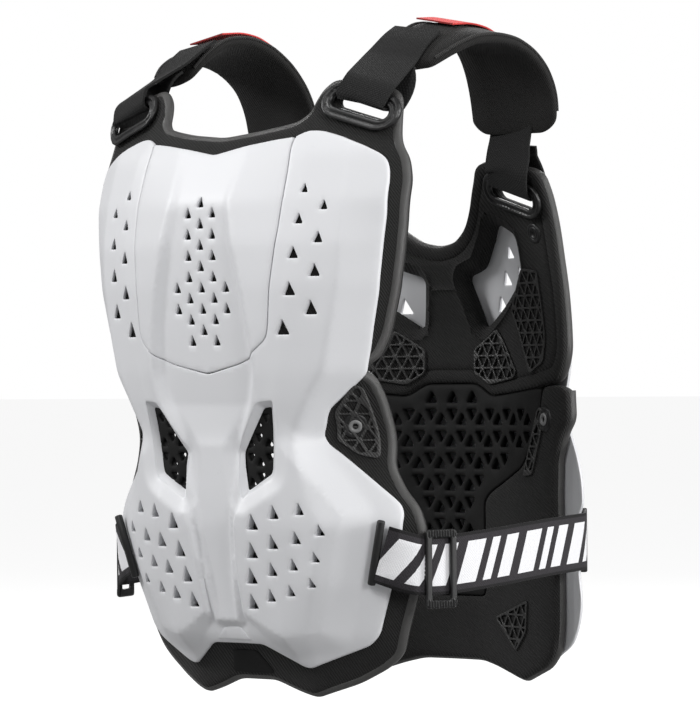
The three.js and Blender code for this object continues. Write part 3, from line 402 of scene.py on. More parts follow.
def clipped(loop, outline):
    """The part of a polygon inside a convex outline"""
    kept = list(loop)
    for start, end in zip(outline, np.roll(outline, -1, axis=0)):
        edge = end - start
        sides = [edge[0] * (p[1] - start[1]) - edge[1] * (p[0] - start[0]) for p in kept]
        found = []
        for index, point in enumerate(kept):
            after = (index + 1) % len(kept)
            if sides[index] >= 0:
                found.append(point)
            if sides[index] * sides[after] < 0:
                share = sides[index] / (sides[index] - sides[after])
                found.append(point + (kept[after] - point) * share)
        kept = found
        if len(kept) < 3:
            return None
    return np.array(kept)


def inside(points, loop):
    found = np.zeros(len(points), bool)
    for (x0, z0), (x1, z1) in zip(loop, np.roll(loop, -1, axis=0)):
        if z0 == z1:
            continue
        crossing = (z0 > points[:, 1]) != (z1 > points[:, 1])
        found ^= crossing & (points[:, 0] < (x1 - x0) * (points[:, 1] - z0) / (z1 - z0) + x0)
    return found


def within(points, loops):
    """Which points lie inside the first loop and outside the others"""
    kept = inside(points, loops[0])
    for hole in loops[1:]:
        kept &= ~inside(points, hole)
    return kept


class Rim:
    """Edge lines of a plate, for distances to the nearest one"""

    def __init__(self, loops):
        self.points = np.vstack(loops)
        self.after = np.concatenate([np.roll(np.arange(len(loop)), -1) + start for loop, start in
                                     zip(loops, np.cumsum([0] + [len(loop) for loop in loops[:-1]]))])
        self.before = np.empty_like(self.after)
        self.before[self.after] = np.arange(len(self.after))
        self.tree = KDTree(len(self.points))
        for index, (x, z) in enumerate(self.points):
            self.tree.insert((x, z, 0), index)
        self.tree.balance()

    def distance(self, points):
        near = np.array([self.tree.find((x, z, 0))[1] for x, z in points], int)
        best = np.full(len(points), np.inf)
        for start, end in ((near, self.after[near]), (self.before[near], near)):
            a, b = self.points[start], self.points[end]
            along = b - a
            share = np.sum((points - a) * along, axis=1) / (np.sum(along * along, axis=1) + 1e-18)
            foot = a + along * np.clip(share, 0, 1)[:, None]
            best = np.minimum(best, np.linalg.norm(points - foot, axis=1))
        return best


# A vent's height as a share of its width, the radius of its corners and its points' spacing
VENT_RISE = 1.15
VENT_CORNER = 0.0011
VENT_STEP = 0.0009


def triangle(across, up, width):
    x, z = place(across, up)
    half = width * sizes().vent_width / 2
    rise = half * VENT_RISE
    return np.array(((x - half, z - rise), (x + half, z - rise), (x, z + rise)))


def vents(table, sides=(1, -1)):
    loops = []
    for across, up, width in table:
        for side in sides:
            loops.append(spaced(bent(triangle(side * across, up, width), VENT_CORNER), VENT_STEP))
    return loops


def sternum_vents():
    table = []
    for row in range(STERNUM_VENTS["rows"]):
        steps = [-1, 1] if row % 2 else [0]
        if row in STERNUM_VENTS["wide"]:
            steps += [-2, 2]
        up = STERNUM_VENTS["top"] - row * STERNUM_VENTS["step"]
        table += [(step * STERNUM_VENTS["across"], up, STERNUM_VENTS["width"]) for step in steps]
    return vents(table, (1,))


def lattice_gaps(outline, pitch, strut):
    """Triangles between the struts of a lattice over the box round an outline"""
    rise = pitch * math.sqrt(3) / 2
    low, high = outline.min(0), outline.max(0)
    gaps = []
    for row in range(int((high[1] - low[1]) / rise) + 2):
        top = high[1] - row * rise
        for column in range(-2, int((high[0] - low[0]) / pitch) + 2):
            x = (low[0] + high[0]) / 2 - math.floor((high[0] - low[0]) / 2 / pitch) * pitch
            x += column * pitch + (row % 2) * pitch / 2
            for corners in (((x, top), (x - pitch / 2, top - rise), (x + pitch / 2, top - rise)),
                            ((x, top), (x + pitch / 2, top - rise), (x + pitch, top))):
                corners = turned(np.array(corners), 1)
                middle = corners.mean(0)
                gaps.append(middle + (corners - middle) * (1 - strut * math.sqrt(3) / pitch))
    return gaps


def lattice(outline, pitch, strut, corner=0.0015, step=0.0016):
    """Rounded triangular gaps that lie whole in an outline"""
    rim = Rim([spaced(outline, step=0.002)])
    return [spaced(bent(gap, corner), step) for gap in lattice_gaps(outline, pitch, strut)
            if inside(gap, outline).all() and rim.distance(gap).min() > strut / 2]


# Faces

# Reach of a face's grid to each side, below and above the datum
FACE_HALF = 0.18
FACE_BELOW = 0.28
FACE_ABOVE = 0.24


class Face:
    """A plate's surface as its depth over a fine grid, with softened creases"""

    def __init__(self, rows, across_soft, up_soft):
        self.step = 0.001
        self.lines = [np.array([(points[index][0], up) for up, points in rows])
                      for index in range(len(rows[0][1]))]
        self.lines += [np.array([(points[0][0], up), (points[-1][0], up)]) for up, points in rows]
        self.x = np.arange(-FACE_HALF, FACE_HALF, self.step)
        self.z = np.arange(DATUM - FACE_BELOW, DATUM + FACE_ABOVE, self.step)
        ups = np.array([up for up, _ in rows])[::-1]
        stack = np.array([points for _, points in rows])[::-1]
        grid = np.empty((len(self.z), len(self.x)))
        for index, z in enumerate(self.z):
            below = int(np.clip(np.searchsorted(ups, z) - 1, 0, len(ups) - 2))
            share = (z - ups[below]) / (ups[below + 1] - ups[below])
            grid[index] = self.across(stack[below] + (stack[below + 1] - stack[below]) * share)
        self.grid = self.softened(self.softened(grid, up_soft).T, across_soft).T

    def across(self, points):
        px, py = points[:, 0], points[:, 1]
        first = (py[1] - py[0]) / (px[1] - px[0])
        last = (py[-1] - py[-2]) / (px[-1] - px[-2])
        inner = np.interp(self.x, px, py)
        inner = np.where(self.x < px[0], py[0] + (self.x - px[0]) * first, inner)
        return np.where(self.x > px[-1], py[-1] + (self.x - px[-1]) * last, inner)

    def softened(self, grid, radius):
        spread = 3
        reach = max(1, int(spread * radius / self.step))
        offsets = np.arange(-reach, reach + 1) * self.step
        weights = np.exp(-(offsets / radius) ** 2 / 2)
        weights /= weights.sum()
        wide = np.pad(grid, ((reach, reach), (0, 0)), mode="reflect", reflect_type="odd")
        return sum(weight * wide[index:index + len(grid)] for index, weight in enumerate(weights))

    def depth(self, points):
        u = np.clip((points[:, 0] - self.x[0]) / self.step, 0, len(self.x) - 2.001)
        v = np.clip((points[:, 1] - self.z[0]) / self.step, 0, len(self.z) - 2.001)
        i, j = v.astype(int), u.astype(int)
        s, t = v - i, u - j
        g = self.grid
        return (g[i, j] * (1 - s) * (1 - t) + g[i + 1, j] * s * (1 - t)
                + g[i, j + 1] * (1 - s) * t + g[i + 1, j + 1] * s * t)


def face_rows(table, columns, half_points):
    rows = []
    for values in table:
        section = dict(zip(columns, values))
        half = np.array(half_points(section))
        rows.append((section["up"] * sizes().plate_height + DATUM, np.vstack((mirrored(half[1:]), half))))
    return rows


def chest_points(section):
    s = sizes()
    ridge = section["ridge_across"] * s.half_width
    crest = section["ridge_depth"] * s.chest_depth
    floor = crest - section["channel"] * s.channel_depth
    points = [(0, -floor), (ridge - s.channel_wall, -floor), (ridge, -crest)]
    for part in ("flank", "crease", "edge", "rim"):
        points.append((section[part + "_across"] * s.half_width, -section[part + "_depth"] * s.chest_depth))
    return points


def back_points(section):
    spine, middle = section["spine_depth"], section["mid_depth"]
    shares = ((0, spine), (section["mid_across"] / 2, (spine * 3 + middle) / 4),
              (section["mid_across"], middle), (section["edge_across"], section["edge_depth"]),
              (BACK_RIM_ACROSS, section["rim_depth"]))
    return [(across * sizes().half_width, depth * sizes().back_depth) for across, depth in shares]


# Radius that softens a face's creases, across and upward
CRISP = {"chest": (0.0009, 0.0042), "back": (0.0014, 0.003)}
SOFT = (0.006, 0.008)
FACES = {}


def face(name):
    """The chest's or the back's face, with crisp or softened creases"""
    if name not in FACES:
        if name.startswith("chest"):
            rows = face_rows(CHEST_ROWS, CHEST_COLUMNS, chest_points)
        else:
            rows = face_rows(BACK_ROWS, BACK_COLUMNS, back_points)
        FACES[name] = Face(rows, *CRISP.get(name, SOFT))
    return FACES[name]


# Meshes

# Angle over which an edge is shaded as a sharp one
SHARP = math.radians(60)


def mesh_object(name, verts, faces, uvs=None):
    mesh = bpy.data.meshes.new(name)
    mesh.from_pydata([tuple(vert) for vert in verts], [], [tuple(f) for f in faces])
    if uvs is not None:
        layer = mesh.uv_layers.new(name="run")
        loop_verts = np.empty(len(mesh.loops), int)
        mesh.loops.foreach_get("vertex_index", loop_verts)
        layer.data.foreach_set("uv", np.asarray(uvs, np.float32)[loop_verts].ravel())
    body = bmesh.new()
    body.from_mesh(mesh)
    bmesh.ops.recalc_face_normals(body, faces=body.faces)
    for edge in body.edges:
        edge.smooth = not edge.is_manifold or edge.calc_face_angle() < SHARP
    body.to_mesh(mesh)
    body.free()
    mesh.shade_smooth()
    piece = bpy.data.objects.new(name, mesh)
    bpy.context.scene.collection.objects.link(piece)
    return piece


def cells(points, spacing):
    """The small squares that points lie in"""
    share = 0.6
    return [tuple(cell) for cell in np.round(points / (spacing * share)).astype(int).tolist()]


def plate(name, outline, holes, surface, near, far, edge, spacing=0.0034, relief=None, extra=(), outer=None):
    """A curved sheet between two layers of a face, with rounded edges and holes"""
    loops = [turned(outline, 1)] + [turned(hole, -1) for hole in holes]
    rim = Rim(loops)
    broad = 0.002
    turns = np.radians((0, 30, 60, 90) if edge > broad else (0, 45, 90))
    points = list(loops)
    for turn in turns[1:]:
        inset = edge * (1 - math.cos(turn))
        for loop in loops:
            ring = shifted(loop, inset)
            points.append(ring[rim.distance(ring) > inset * 0.9])
    taken = set()
    for line in extra:
        line = line[within(line, loops)]
        line = line[rim.distance(line) > edge * 1.2]
        points.append(line)
        taken |= set(cells(line, spacing))
    low, high = outline.min(0), outline.max(0)
    rise = spacing * math.sqrt(3) / 2
    columns = np.arange(low[0], high[0], spacing)
    grid = np.vstack([np.column_stack((columns + (row % 2) * spacing / 2, np.full(len(columns), z)))
                      for row, z in enumerate(np.arange(low[1], high[1], rise))])
    grid = grid[within(grid, loops)]
    grid = grid[rim.distance(grid) > edge + spacing * 0.45]
    points.append(grid[[cell not in taken for cell in cells(grid, spacing)]])
    starts = np.cumsum([0] + [len(loop) for loop in loops])
    edges = [(int(start + index), int(start + (index + 1) % len(loop)))
             for loop, start in zip(loops, starts) for index in range(len(loop))]
    flat = [Vector(point) for point in np.vstack(points)]
    closest = 1e-7
    verts, _, faces, *_ = delaunay_2d_cdt(flat, edges, [], 0, closest)
    verts = np.array(verts)
    faces = np.array(faces)
    faces = faces[within(verts[faces].mean(1), loops)]
    distance = rim.distance(verts)
    across = np.clip(1 - distance / edge, 0, 1)
    drop = edge * (1 - np.sqrt(1 - across ** 2))
    depth = surface.depth(verts)
    raised = relief(verts, distance) if relief else 0
    front = np.column_stack((verts[:, 0], depth + near + drop + raised, verts[:, 1]))
    swell = outer(verts) if outer else 0
    back = np.column_stack((verts[:, 0], depth + far - drop + swell, verts[:, 1]))
    sides = {}
    for face_verts in faces:
        for a, b in zip(face_verts, np.roll(face_verts, -1)):
            key = (min(a, b), max(a, b))
            sides[key] = None if key in sides else (a, b)
    count = len(verts)
    walls = [(b, a, a + count, b + count) for a, b in (side for side in sides.values() if side)]
    shell = [tuple(f) for f in faces] + [tuple(f[::-1] + count) for f in faces] + walls
    return mesh_object(name, np.vstack((front, back)), shell)


def loft(name, rings, closed=False, uvs=None):
    """A body through rings of points, capped at its ends or closed on itself"""
    rings = np.asarray(rings)
    total, count, _ = rings.shape
    faces = []
    for ring in range(total if closed else total - 1):
        start, following = ring * count, ((ring + 1) % total) * count
        for step in range(count):
            after = (step + 1) % count
            faces.append((start + step, start + after, following + after, following + step))
    if not closed:
        faces.append(tuple(range(count - 1, -1, -1)))
        faces.append(tuple(range((total - 1) * count, total * count)))
    return mesh_object(name, rings.reshape(-1, 3), faces, uvs)


def unit(vectors):
    vectors = np.asarray(vectors, float)
    return vectors / (np.linalg.norm(vectors, axis=-1, keepdims=True) + 1e-12)


def tangents(points, closed=False):
    if closed:
        return unit(np.roll(points, -1, axis=0) - np.roll(points, 1, axis=0))
    return unit(np.gradient(points, axis=0))


def tube(name, points, radius, closed=True, sides=8):
    """A round cord along a line that mostly lies in an upright plane"""
    along = tangents(points, closed)
    across = unit(np.cross(along, (0, 1, 0)))
    normal = np.cross(along, across)
    turns = np.linspace(0, 2 * math.pi, sides, endpoint=False)
    rings = [[centre + radius * (math.cos(turn) * a + math.sin(turn) * n) for turn in turns]
             for centre, a, n in zip(points, across, normal)]
    return loft(name, rings, closed)


def band_frames(points, acrosses, radius, step):
    """A bent route with evenly set stations, and the directions across it and out of it"""
    points = np.asarray(points, float)
    run = lengths(points)
    both = np.column_stack((points, unit(acrosses)))
    route = spaced(bent(both[:, :3], radius, False), step, False)
    along = tangents(route)
    travelled = lengths(route)
    at = travelled / travelled[-1] * run[-1]
    across = np.column_stack([np.interp(at, run, both[:, 3 + axis]) for axis in range(3)])
    across = unit(across - np.sum(across * along, axis=1)[:, None] * along)
    return route, across, np.cross(along, across), travelled


def band(name, frames, width, wall, side=1, crown=0):
    """A strap with rounded edges along a route"""
    route, across, normal, travelled = frames
    half, thick = width / 2, wall / 2
    corner, flank, quarter = half - thick * 0.3, thick * 0.45, half * 0.5
    profile = [(-corner, -thick), (-quarter, -thick), (quarter, -thick), (corner, -thick),
               (half, -flank), (half, flank), (corner, thick), (quarter, thick + crown),
               (-quarter, thick + crown), (-corner, thick), (-half, flank), (-half, -flank)]
    rings = [[centre + u * a + v * n for u, v in profile]
             for centre, a, n in zip(route, across, normal)]
    uvs = [(run, u) for run in travelled for u, _ in profile]
    return loft(name, np.array(rings) * (side, 1, 1), False, uvs)


def stitch_row(name, starts, ends, lift, width=0.0007, height=0.0006):
    """Short raised threads, each between two points"""
    verts, faces = [], []
    for start, end, out in zip(starts, ends, lift):
        along = end - start
        across = unit(np.cross(along, out)) * width / 2
        base = len(verts)
        middle = (start + end) / 2 + out * height
        taper = along * 0.2
        verts += [start, start + across + taper, end + across - taper, end,
                  end - across - taper, start - across + taper, middle]
        faces += [(base + step, base + (step + 1) % 6, base + 6) for step in range(6)]
        faces.append(tuple(base + step for step in range(5, -1, -1)))
    return mesh_object(name, verts, faces)


# Shading

def put(tree, socket, value):
    """Links a socket to another node's output, or sets its own constant"""
    if isinstance(value, bpy.types.NodeSocket):
        tree.links.new(value, socket)
    else:
        socket.default_value = value


def tree_node(tree, kind, inputs=None, **settings):
    made = tree.nodes.new(kind)
    for key, value in settings.items():
        setattr(made, key, value)
    for key, value in (inputs or {}).items():
        put(tree, made.inputs[key], value)
    return made


def maths(tree, operation, first, second=0.0, third=None):
    inputs = {0: first, 1: second}
    if third is not None:
        inputs[2] = third
    return tree_node(tree, "ShaderNodeMath", inputs, operation=operation).outputs[0]


def mixed(tree, share, first, second):
    """A blend of two colours; the mix node's colour sockets have these numbers"""
    made = tree_node(tree, "ShaderNodeMix", data_type="RGBA")
    for index, value in ((0, share), (6, first), (7, second)):
        put(tree, made.inputs[index], value)
    return made.outputs[2]


def group_tree(name, inputs, outputs):
    tree = bpy.data.node_groups.new(name, "ShaderNodeTree")
    for label, kind, default in inputs:
        socket = tree.interface.new_socket(name=label, in_out="INPUT", socket_type=kind)
        if default is not None:
            socket.default_value = default
    for label, kind in outputs:
        tree.interface.new_socket(name=label, in_out="OUTPUT", socket_type=kind)
    return tree, tree.nodes.new("NodeGroupInput"), tree.nodes.new("NodeGroupOutput")


def grain_group():
    """Fine moulded grain with broad, faint blotches"""
    tree, given, out = group_tree("moulded_grain", (
        ("Vector", "NodeSocketVector", None), ("Scale", "NodeSocketFloat", 900.0),
        ("Blotch", "NodeSocketFloat", 14.0)),
        (("Height", "NodeSocketFloat"), ("Blotches", "NodeSocketFloat")))
    fine = tree_node(tree, "ShaderNodeTexNoise", {
        "Vector": given.outputs["Vector"], "Scale": given.outputs["Scale"], "Detail": 3.0})
    broad = tree_node(tree, "ShaderNodeTexNoise", {
        "Vector": given.outputs["Vector"], "Scale": given.outputs["Blotch"], "Detail": 5.0})
    tree.links.new(fine.outputs["Fac"], out.inputs["Height"])
    tree.links.new(broad.outputs["Fac"], out.inputs["Blotches"])
    return tree


def rib_group():
    """Ribs of a knitted cloth on the slant, crossed by finer threads"""
    tree, given, out = group_tree("slanted_rib", (
        ("Vector", "NodeSocketVector", None), ("Pitch", "NodeSocketFloat", 260.0),
        ("Fuzz", "NodeSocketFloat", 1400.0)),
        (("Height", "NodeSocketFloat"), ("Threads", "NodeSocketFloat")))
    spread = tree_node(tree, "ShaderNodeSeparateXYZ", {"Vector": given.outputs["Vector"]})
    x, y, z = spread.outputs
    slant = maths(tree, "MULTIPLY", maths(tree, "ADD", maths(tree, "ADD", x, y), z), given.outputs["Pitch"])
    cross = maths(tree, "MULTIPLY", maths(tree, "SUBTRACT", x, z), given.outputs["Pitch"])
    rib = maths(tree, "ABSOLUTE", maths(tree, "SINE", maths(tree, "MULTIPLY", slant, math.pi)))
    thread = maths(tree, "ABSOLUTE", maths(tree, "SINE", maths(tree, "MULTIPLY", cross, math.pi * 2)))
    fuzz = tree_node(tree, "ShaderNodeTexNoise", {
        "Vector": given.outputs["Vector"], "Scale": given.outputs["Fuzz"], "Detail": 2.0})
    fuzzy = maths(tree, "MULTIPLY_ADD", fuzz.outputs["Fac"], 0.4, rib)
    height = maths(tree, "MULTIPLY_ADD", thread, 0.3, fuzzy)
    tree.links.new(height, out.inputs["Height"])
    tree.links.new(rib, out.inputs["Threads"])
    return tree


def weave_group():
    """Plain weave along and across a strap, from its run and its width"""
    tree, given, out = group_tree("strap_weave", (
        ("Run", "NodeSocketFloat", 0.0), ("Across", "NodeSocketFloat", 0.0),
        ("Pitch", "NodeSocketFloat", 700.0)),
        (("Height", "NodeSocketFloat"), ("Threads", "NodeSocketFloat")))
    waves = []
    for label in ("Run", "Across"):
        turn = maths(tree, "MULTIPLY", given.outputs[label], given.outputs["Pitch"])
        waves.append(maths(tree, "SINE", maths(tree, "MULTIPLY", turn, math.pi)))
    weave = maths(tree, "MULTIPLY", *waves)
    tree.links.new(maths(tree, "MULTIPLY_ADD", weave, 0.5, 0.5), out.inputs["Height"])
    tree.links.new(maths(tree, "ABSOLUTE", waves[0]), out.inputs["Threads"])
    return tree


def scuff_group():
    """Scattered scuffs and dust as a mask"""
    tree, given, out = group_tree("scuffs", (
        ("Vector", "NodeSocketVector", None), ("Scale", "NodeSocketFloat", 60.0),
        ("Least", "NodeSocketFloat", 0.62)), (("Mask", "NodeSocketFloat"),))
    noise = tree_node(tree, "ShaderNodeTexNoise", {
        "Vector": given.outputs["Vector"], "Scale": given.outputs["Scale"], "Detail": 8.0, "Roughness": 0.7})
    above = maths(tree, "SUBTRACT", noise.outputs["Fac"], given.outputs["Least"])
    mask = maths(tree, "MULTIPLY", above, 5.0)
    clamp = tree_node(tree, "ShaderNodeClamp", {"Value": mask})
    tree.links.new(clamp.outputs[0], out.inputs["Mask"])
    return tree


GROUPS = {"grain": grain_group, "rib": rib_group, "weave": weave_group, "scuffs": scuff_group}


def effect(tree, kind, **inputs):
    """A shared effect placed in a material with its own values"""
    if callable(GROUPS[kind]):
        GROUPS[kind] = GROUPS[kind]()
    made = tree.nodes.new("ShaderNodeGroup")
    made.node_tree = GROUPS[kind]
    for key, value in inputs.items():
        put(tree, made.inputs[key], value)
    return made


class Finish:
    """A material being made, with its own principled shader"""

    def __init__(self, name, **constants):
        self.material = bpy.data.materials.new(name)
        self.material.use_nodes = True
        self.tree = self.material.node_tree
        self.shader = self.tree.nodes["Principled BSDF"]
        self.vector = tree_node(self.tree, "ShaderNodeTexCoord").outputs["Object"]
        for key, value in constants.items():
            self.shader.inputs[key.replace("_", " ")].default_value = value

    def feed(self, socket, value):
        self.tree.links.new(value, self.shader.inputs[socket])

    def varied(self, share, first, second):
        return mixed(self.tree, share, first, second)

    def bump(self, height, distance, strength=1.0):
        bump = tree_node(self.tree, "ShaderNodeBump", {
            "Height": height, "Distance": distance, "Strength": strength})
        self.feed("Normal", bump.outputs[0])

    def roughened(self, value, low, high):
        made = maths(self.tree, "MULTIPLY_ADD", value, high - low, low)
        self.feed("Roughness", made)


def tinted(rgb, factor):
    return tuple(min(1.0, channel * factor) for channel in rgb) + (1.0,)


def shell_finish():
    made = Finish("moulded_shell", Coat_Weight=0.05, Coat_Roughness=0.3)
    grain = effect(made.tree, "grain", Vector=made.vector, Scale=1300.0, Blotch=9.0)
    scuffs = effect(made.tree, "scuffs", Vector=made.vector, Scale=85.0, Least=0.66)
    base = colours().shell
    body = made.varied(grain.outputs["Blotches"], tinted(base, 0.97), tinted(base, 1.03))
    made.feed("Base Color", made.varied(scuffs.outputs["Mask"], body, tinted(base, 0.86)))
    made.roughened(grain.outputs["Blotches"], 0.42, 0.56)
    made.bump(grain.outputs["Height"], 0.00012, 0.35)
    return made.material


def cloth_finish(name, base, pitch, light=2.4, depth=0.0007, gloss=0.25):
    made = Finish(name, Sheen_Weight=0.05, Sheen_Roughness=0.5, Specular_IOR_Level=gloss)
    rib = effect(made.tree, "rib", Vector=made.vector, Pitch=pitch, Fuzz=1500.0)
    grain = effect(made.tree, "grain", Vector=made.vector, Scale=700.0, Blotch=22.0)
    body = made.varied(rib.outputs["Threads"], tinted(base, 0.6), tinted(base, light))
    made.feed("Base Color", made.varied(grain.outputs["Blotches"], body, tinted(base, 1.5)))
    made.roughened(grain.outputs["Height"], 0.95 - gloss, 1.1 - gloss)
    made.bump(rib.outputs["Height"], depth, 0.8)
    return made.material


def mesh_finish():
    made = Finish("matte_lattice", Specular_IOR_Level=0.25)
    grain = effect(made.tree, "grain", Vector=made.vector, Scale=1600.0, Blotch=30.0)
    base = colours().mesh
    made.feed("Base Color", made.varied(grain.outputs["Blotches"], tinted(base, 0.7), tinted(base, 1.8)))
    made.roughened(grain.outputs["Height"], 0.6, 0.85)
    made.bump(grain.outputs["Height"], 0.0002, 0.5)
    return made.material


def plastic_finish(name, base, low, high):
    made = Finish(name)
    grain = effect(made.tree, "grain", Vector=made.vector, Scale=1500.0, Blotch=40.0)
    scuffs = effect(made.tree, "scuffs", Vector=made.vector, Scale=150.0, Least=0.6)
    body = made.varied(grain.outputs["Blotches"], tinted(base, 0.85), tinted(base, 1.25))
    made.feed("Base Color", made.varied(scuffs.outputs["Mask"], body, tinted(base, 2.2)))
    made.roughened(grain.outputs["Blotches"], low, high)
    made.bump(grain.outputs["Height"], 0.0001, 0.4)
    return made.material


def run_and_across(made):
    uv = tree_node(made.tree, "ShaderNodeUVMap", uv_map="run")
    return tree_node(made.tree, "ShaderNodeSeparateXYZ", {"Vector": uv.outputs[0]}).outputs[:2]


def webbing_finish(name, base):
    made = Finish(name, Sheen_Weight=0.05, Sheen_Roughness=0.45, Specular_IOR_Level=0.25)
    run, across = run_and_across(made)
    weave = effect(made.tree, "weave", Run=run, Across=across, Pitch=850.0)
    scuffs = effect(made.tree, "scuffs", Vector=made.vector, Scale=400.0, Least=0.55)
    body = made.varied(weave.outputs["Threads"], tinted(base, 0.6), tinted(base, 1.9))
    made.feed("Base Color", made.varied(scuffs.outputs["Mask"], body, tinted(base, 3.2)))
    made.roughened(weave.outputs["Height"], 0.72, 0.92)
    made.bump(weave.outputs["Height"], 0.0004, 0.8)
    return made.material


# Slanted bars on the side strap: start and width along it, lower and upper edge across it
MOTIF_PITCH = 0.066
MOTIF_SLANT = 0.48
BORDER = 0.0192
MOTIF = ((0.002, 0.019, -0.015, 0.015), (0.0285, 0.0085, -0.015, 0.015), (0.0445, 0.0135, -0.015, 0.015))


def strap_finish():
    made = Finish("side_strap", Sheen_Weight=0.05, Sheen_Roughness=0.5, Specular_IOR_Level=0.3)
    tree = made.tree
    run, across = run_and_across(made)
    weave = effect(tree, "weave", Run=run, Across=across, Pitch=900.0)
    melange = tree_node(tree, "ShaderNodeTexNoise", {"Vector": made.vector, "Scale": 900.0, "Detail": 2.0})
    base = colours().strap
    body = made.varied(melange.outputs["Fac"], tinted(base, 0.45), tinted(base, 1.9))
    slant = maths(tree, "MULTIPLY_ADD", across, -MOTIF_SLANT, run)
    cell = maths(tree, "FLOORED_MODULO", slant, MOTIF_PITCH)
    bars = None
    for start, wide, low, high in MOTIF:
        limits = (("GREATER_THAN", cell, start), ("LESS_THAN", cell, start + wide),
                  ("GREATER_THAN", across, low), ("LESS_THAN", across, high))
        mask = maths(tree, *limits[0])
        for limit in limits[1:]:
            mask = maths(tree, "MULTIPLY", mask, maths(tree, *limit))
        bars = mask if bars is None else maths(tree, "MAXIMUM", bars, mask)
    motif = colours().motif
    white = made.varied(weave.outputs["Threads"], tinted(motif, 0.9), tinted(motif, 1.05))
    printed = made.varied(bars, body, white)
    border = maths(tree, "GREATER_THAN", maths(tree, "ABSOLUTE", across), BORDER)
    made.feed("Base Color", made.varied(border, printed, tinted(base, 0.25)))
    made.roughened(weave.outputs["Height"], 0.7, 0.9)
    made.bump(weave.outputs["Height"], 0.0003, 0.7)
    return made.material


FINISHES = {}


def finish(name):
    """The material of a look, made once"""
    base = colours()
    looks = {
        "shell": (shell_finish,),
        "foam": (cloth_finish, "ribbed_liner", base.foam, 330.0),
        # The padded rim is the liner's cloth painted four times lighter: a painted highlight of the side
        # light along the rounded edge
        "rim": (cloth_finish, "padded_rim", tinted(base.foam, 4.0)[:3], 620.0, 1.5, 0.0002, 0.62),
        "piping": (cloth_finish, "liner_piping", tinted(base.foam, 2.2)[:3], 420.0),
        # The grips are the liner's cloth painted lighter: a painted highlight on the raised ribs
        "grip": (cloth_finish, "ribbed_grip", tinted(base.foam, 1.7)[:3], 300.0, 1.5, 0.0003, 0.55),
        "mesh": (mesh_finish,),
        "pad": (cloth_finish, "knitted_pad", base.pad, 480.0, 2.0, 0.0004),
        "webbing": (webbing_finish, "woven_webbing", base.webbing),
        "patch": (webbing_finish, "woven_patch", base.patch),
        "strap": (strap_finish,),
        "thread": (webbing_finish, "thread", tinted(base.webbing, 4)[:3]),
        "plastic": (plastic_finish, "black_fitting", base.plastic, 0.3, 0.5),
        "rivet": (plastic_finish, "grey_rivet", base.rivet, 0.35, 0.55),
    }
    if name not in FINISHES:
        maker, *values = looks[name]
        FINISHES[name] = maker(*values)
    return FINISHES[name]


def dress(piece, look, slot, *nodes, fill=None):
    """Gives a piece its material and its place in the frame"""
    piece.data.materials.clear()
    piece.data.materials.append(finish(look))
    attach(piece, "root")
    if nodes:
        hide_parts(*nodes)
    return piece


# Plates

# Corner radius of the side windows, and the points' spacing round every window
WINDOW_CORNER = 0.003
WINDOW_STEP = 0.0018
CREASE_STEP = 0.0016


def chest_shell_outline():
    outer = scaled(CHEST_SHELL)[SEAM_TOP:]
    seam = scaled(STERNUM)[SEAM_TOP:] + (sizes().seam_gap, 0)
    seam[-1] = (0, seam[-1][1] - sizes().seam_gap)
    loop = np.vstack((outer, mirrored(outer[:-1]), seam[:-1] * (-1, 1), seam[::-1]))
    return smooth_loop(loop, radius=0.0045, step=0.002)


def window_loops(outline, radius):
    return [spaced(bent(scaled(outline, side), radius), WINDOW_STEP) for _, side in SIDES]


def crease_lines(name):
    """A face's creases as rows of points"""
    return [spaced(line, CREASE_STEP, False) for line in face(name).lines]


def split(loop, parts):
    """A closed loop with each of its edges cut in equal parts"""
    after = np.roll(loop, -1, axis=0)
    return np.vstack([[start + (end - start) * part / parts for part in range(parts)]
                      for start, end in zip(loop, after)])


def bevel(name, outline, surface, wall, deep, inward):
    """A sloping collar from a hole's edge down to a smaller mouth"""
    outer_corner, inner_corner, tuck = 0.0034, 0.0022, 0.0005
    lip_width, lip_height, return_inset, parts = 0.0003, 0.0008, 0.0006, 3
    ways = ((-tuck, outer_corner), (inward, inner_corner), (inward + lip_width, inner_corner),
            (return_inset, WINDOW_CORNER))
    lines = [split(bent(corner_inset(outline, inset), radius), parts) for inset, radius in ways]
    layers = (tuck, deep, deep + lip_height, wall)
    corners = np.stack(lines, 1)
    deeps = np.stack([surface.depth(line) for line in lines], 1) + layers
    rings = [np.column_stack((corner[:, 0], depths, corner[:, 1])) for corner, depths in zip(corners, deeps)]
    return loft(name, rings, True)


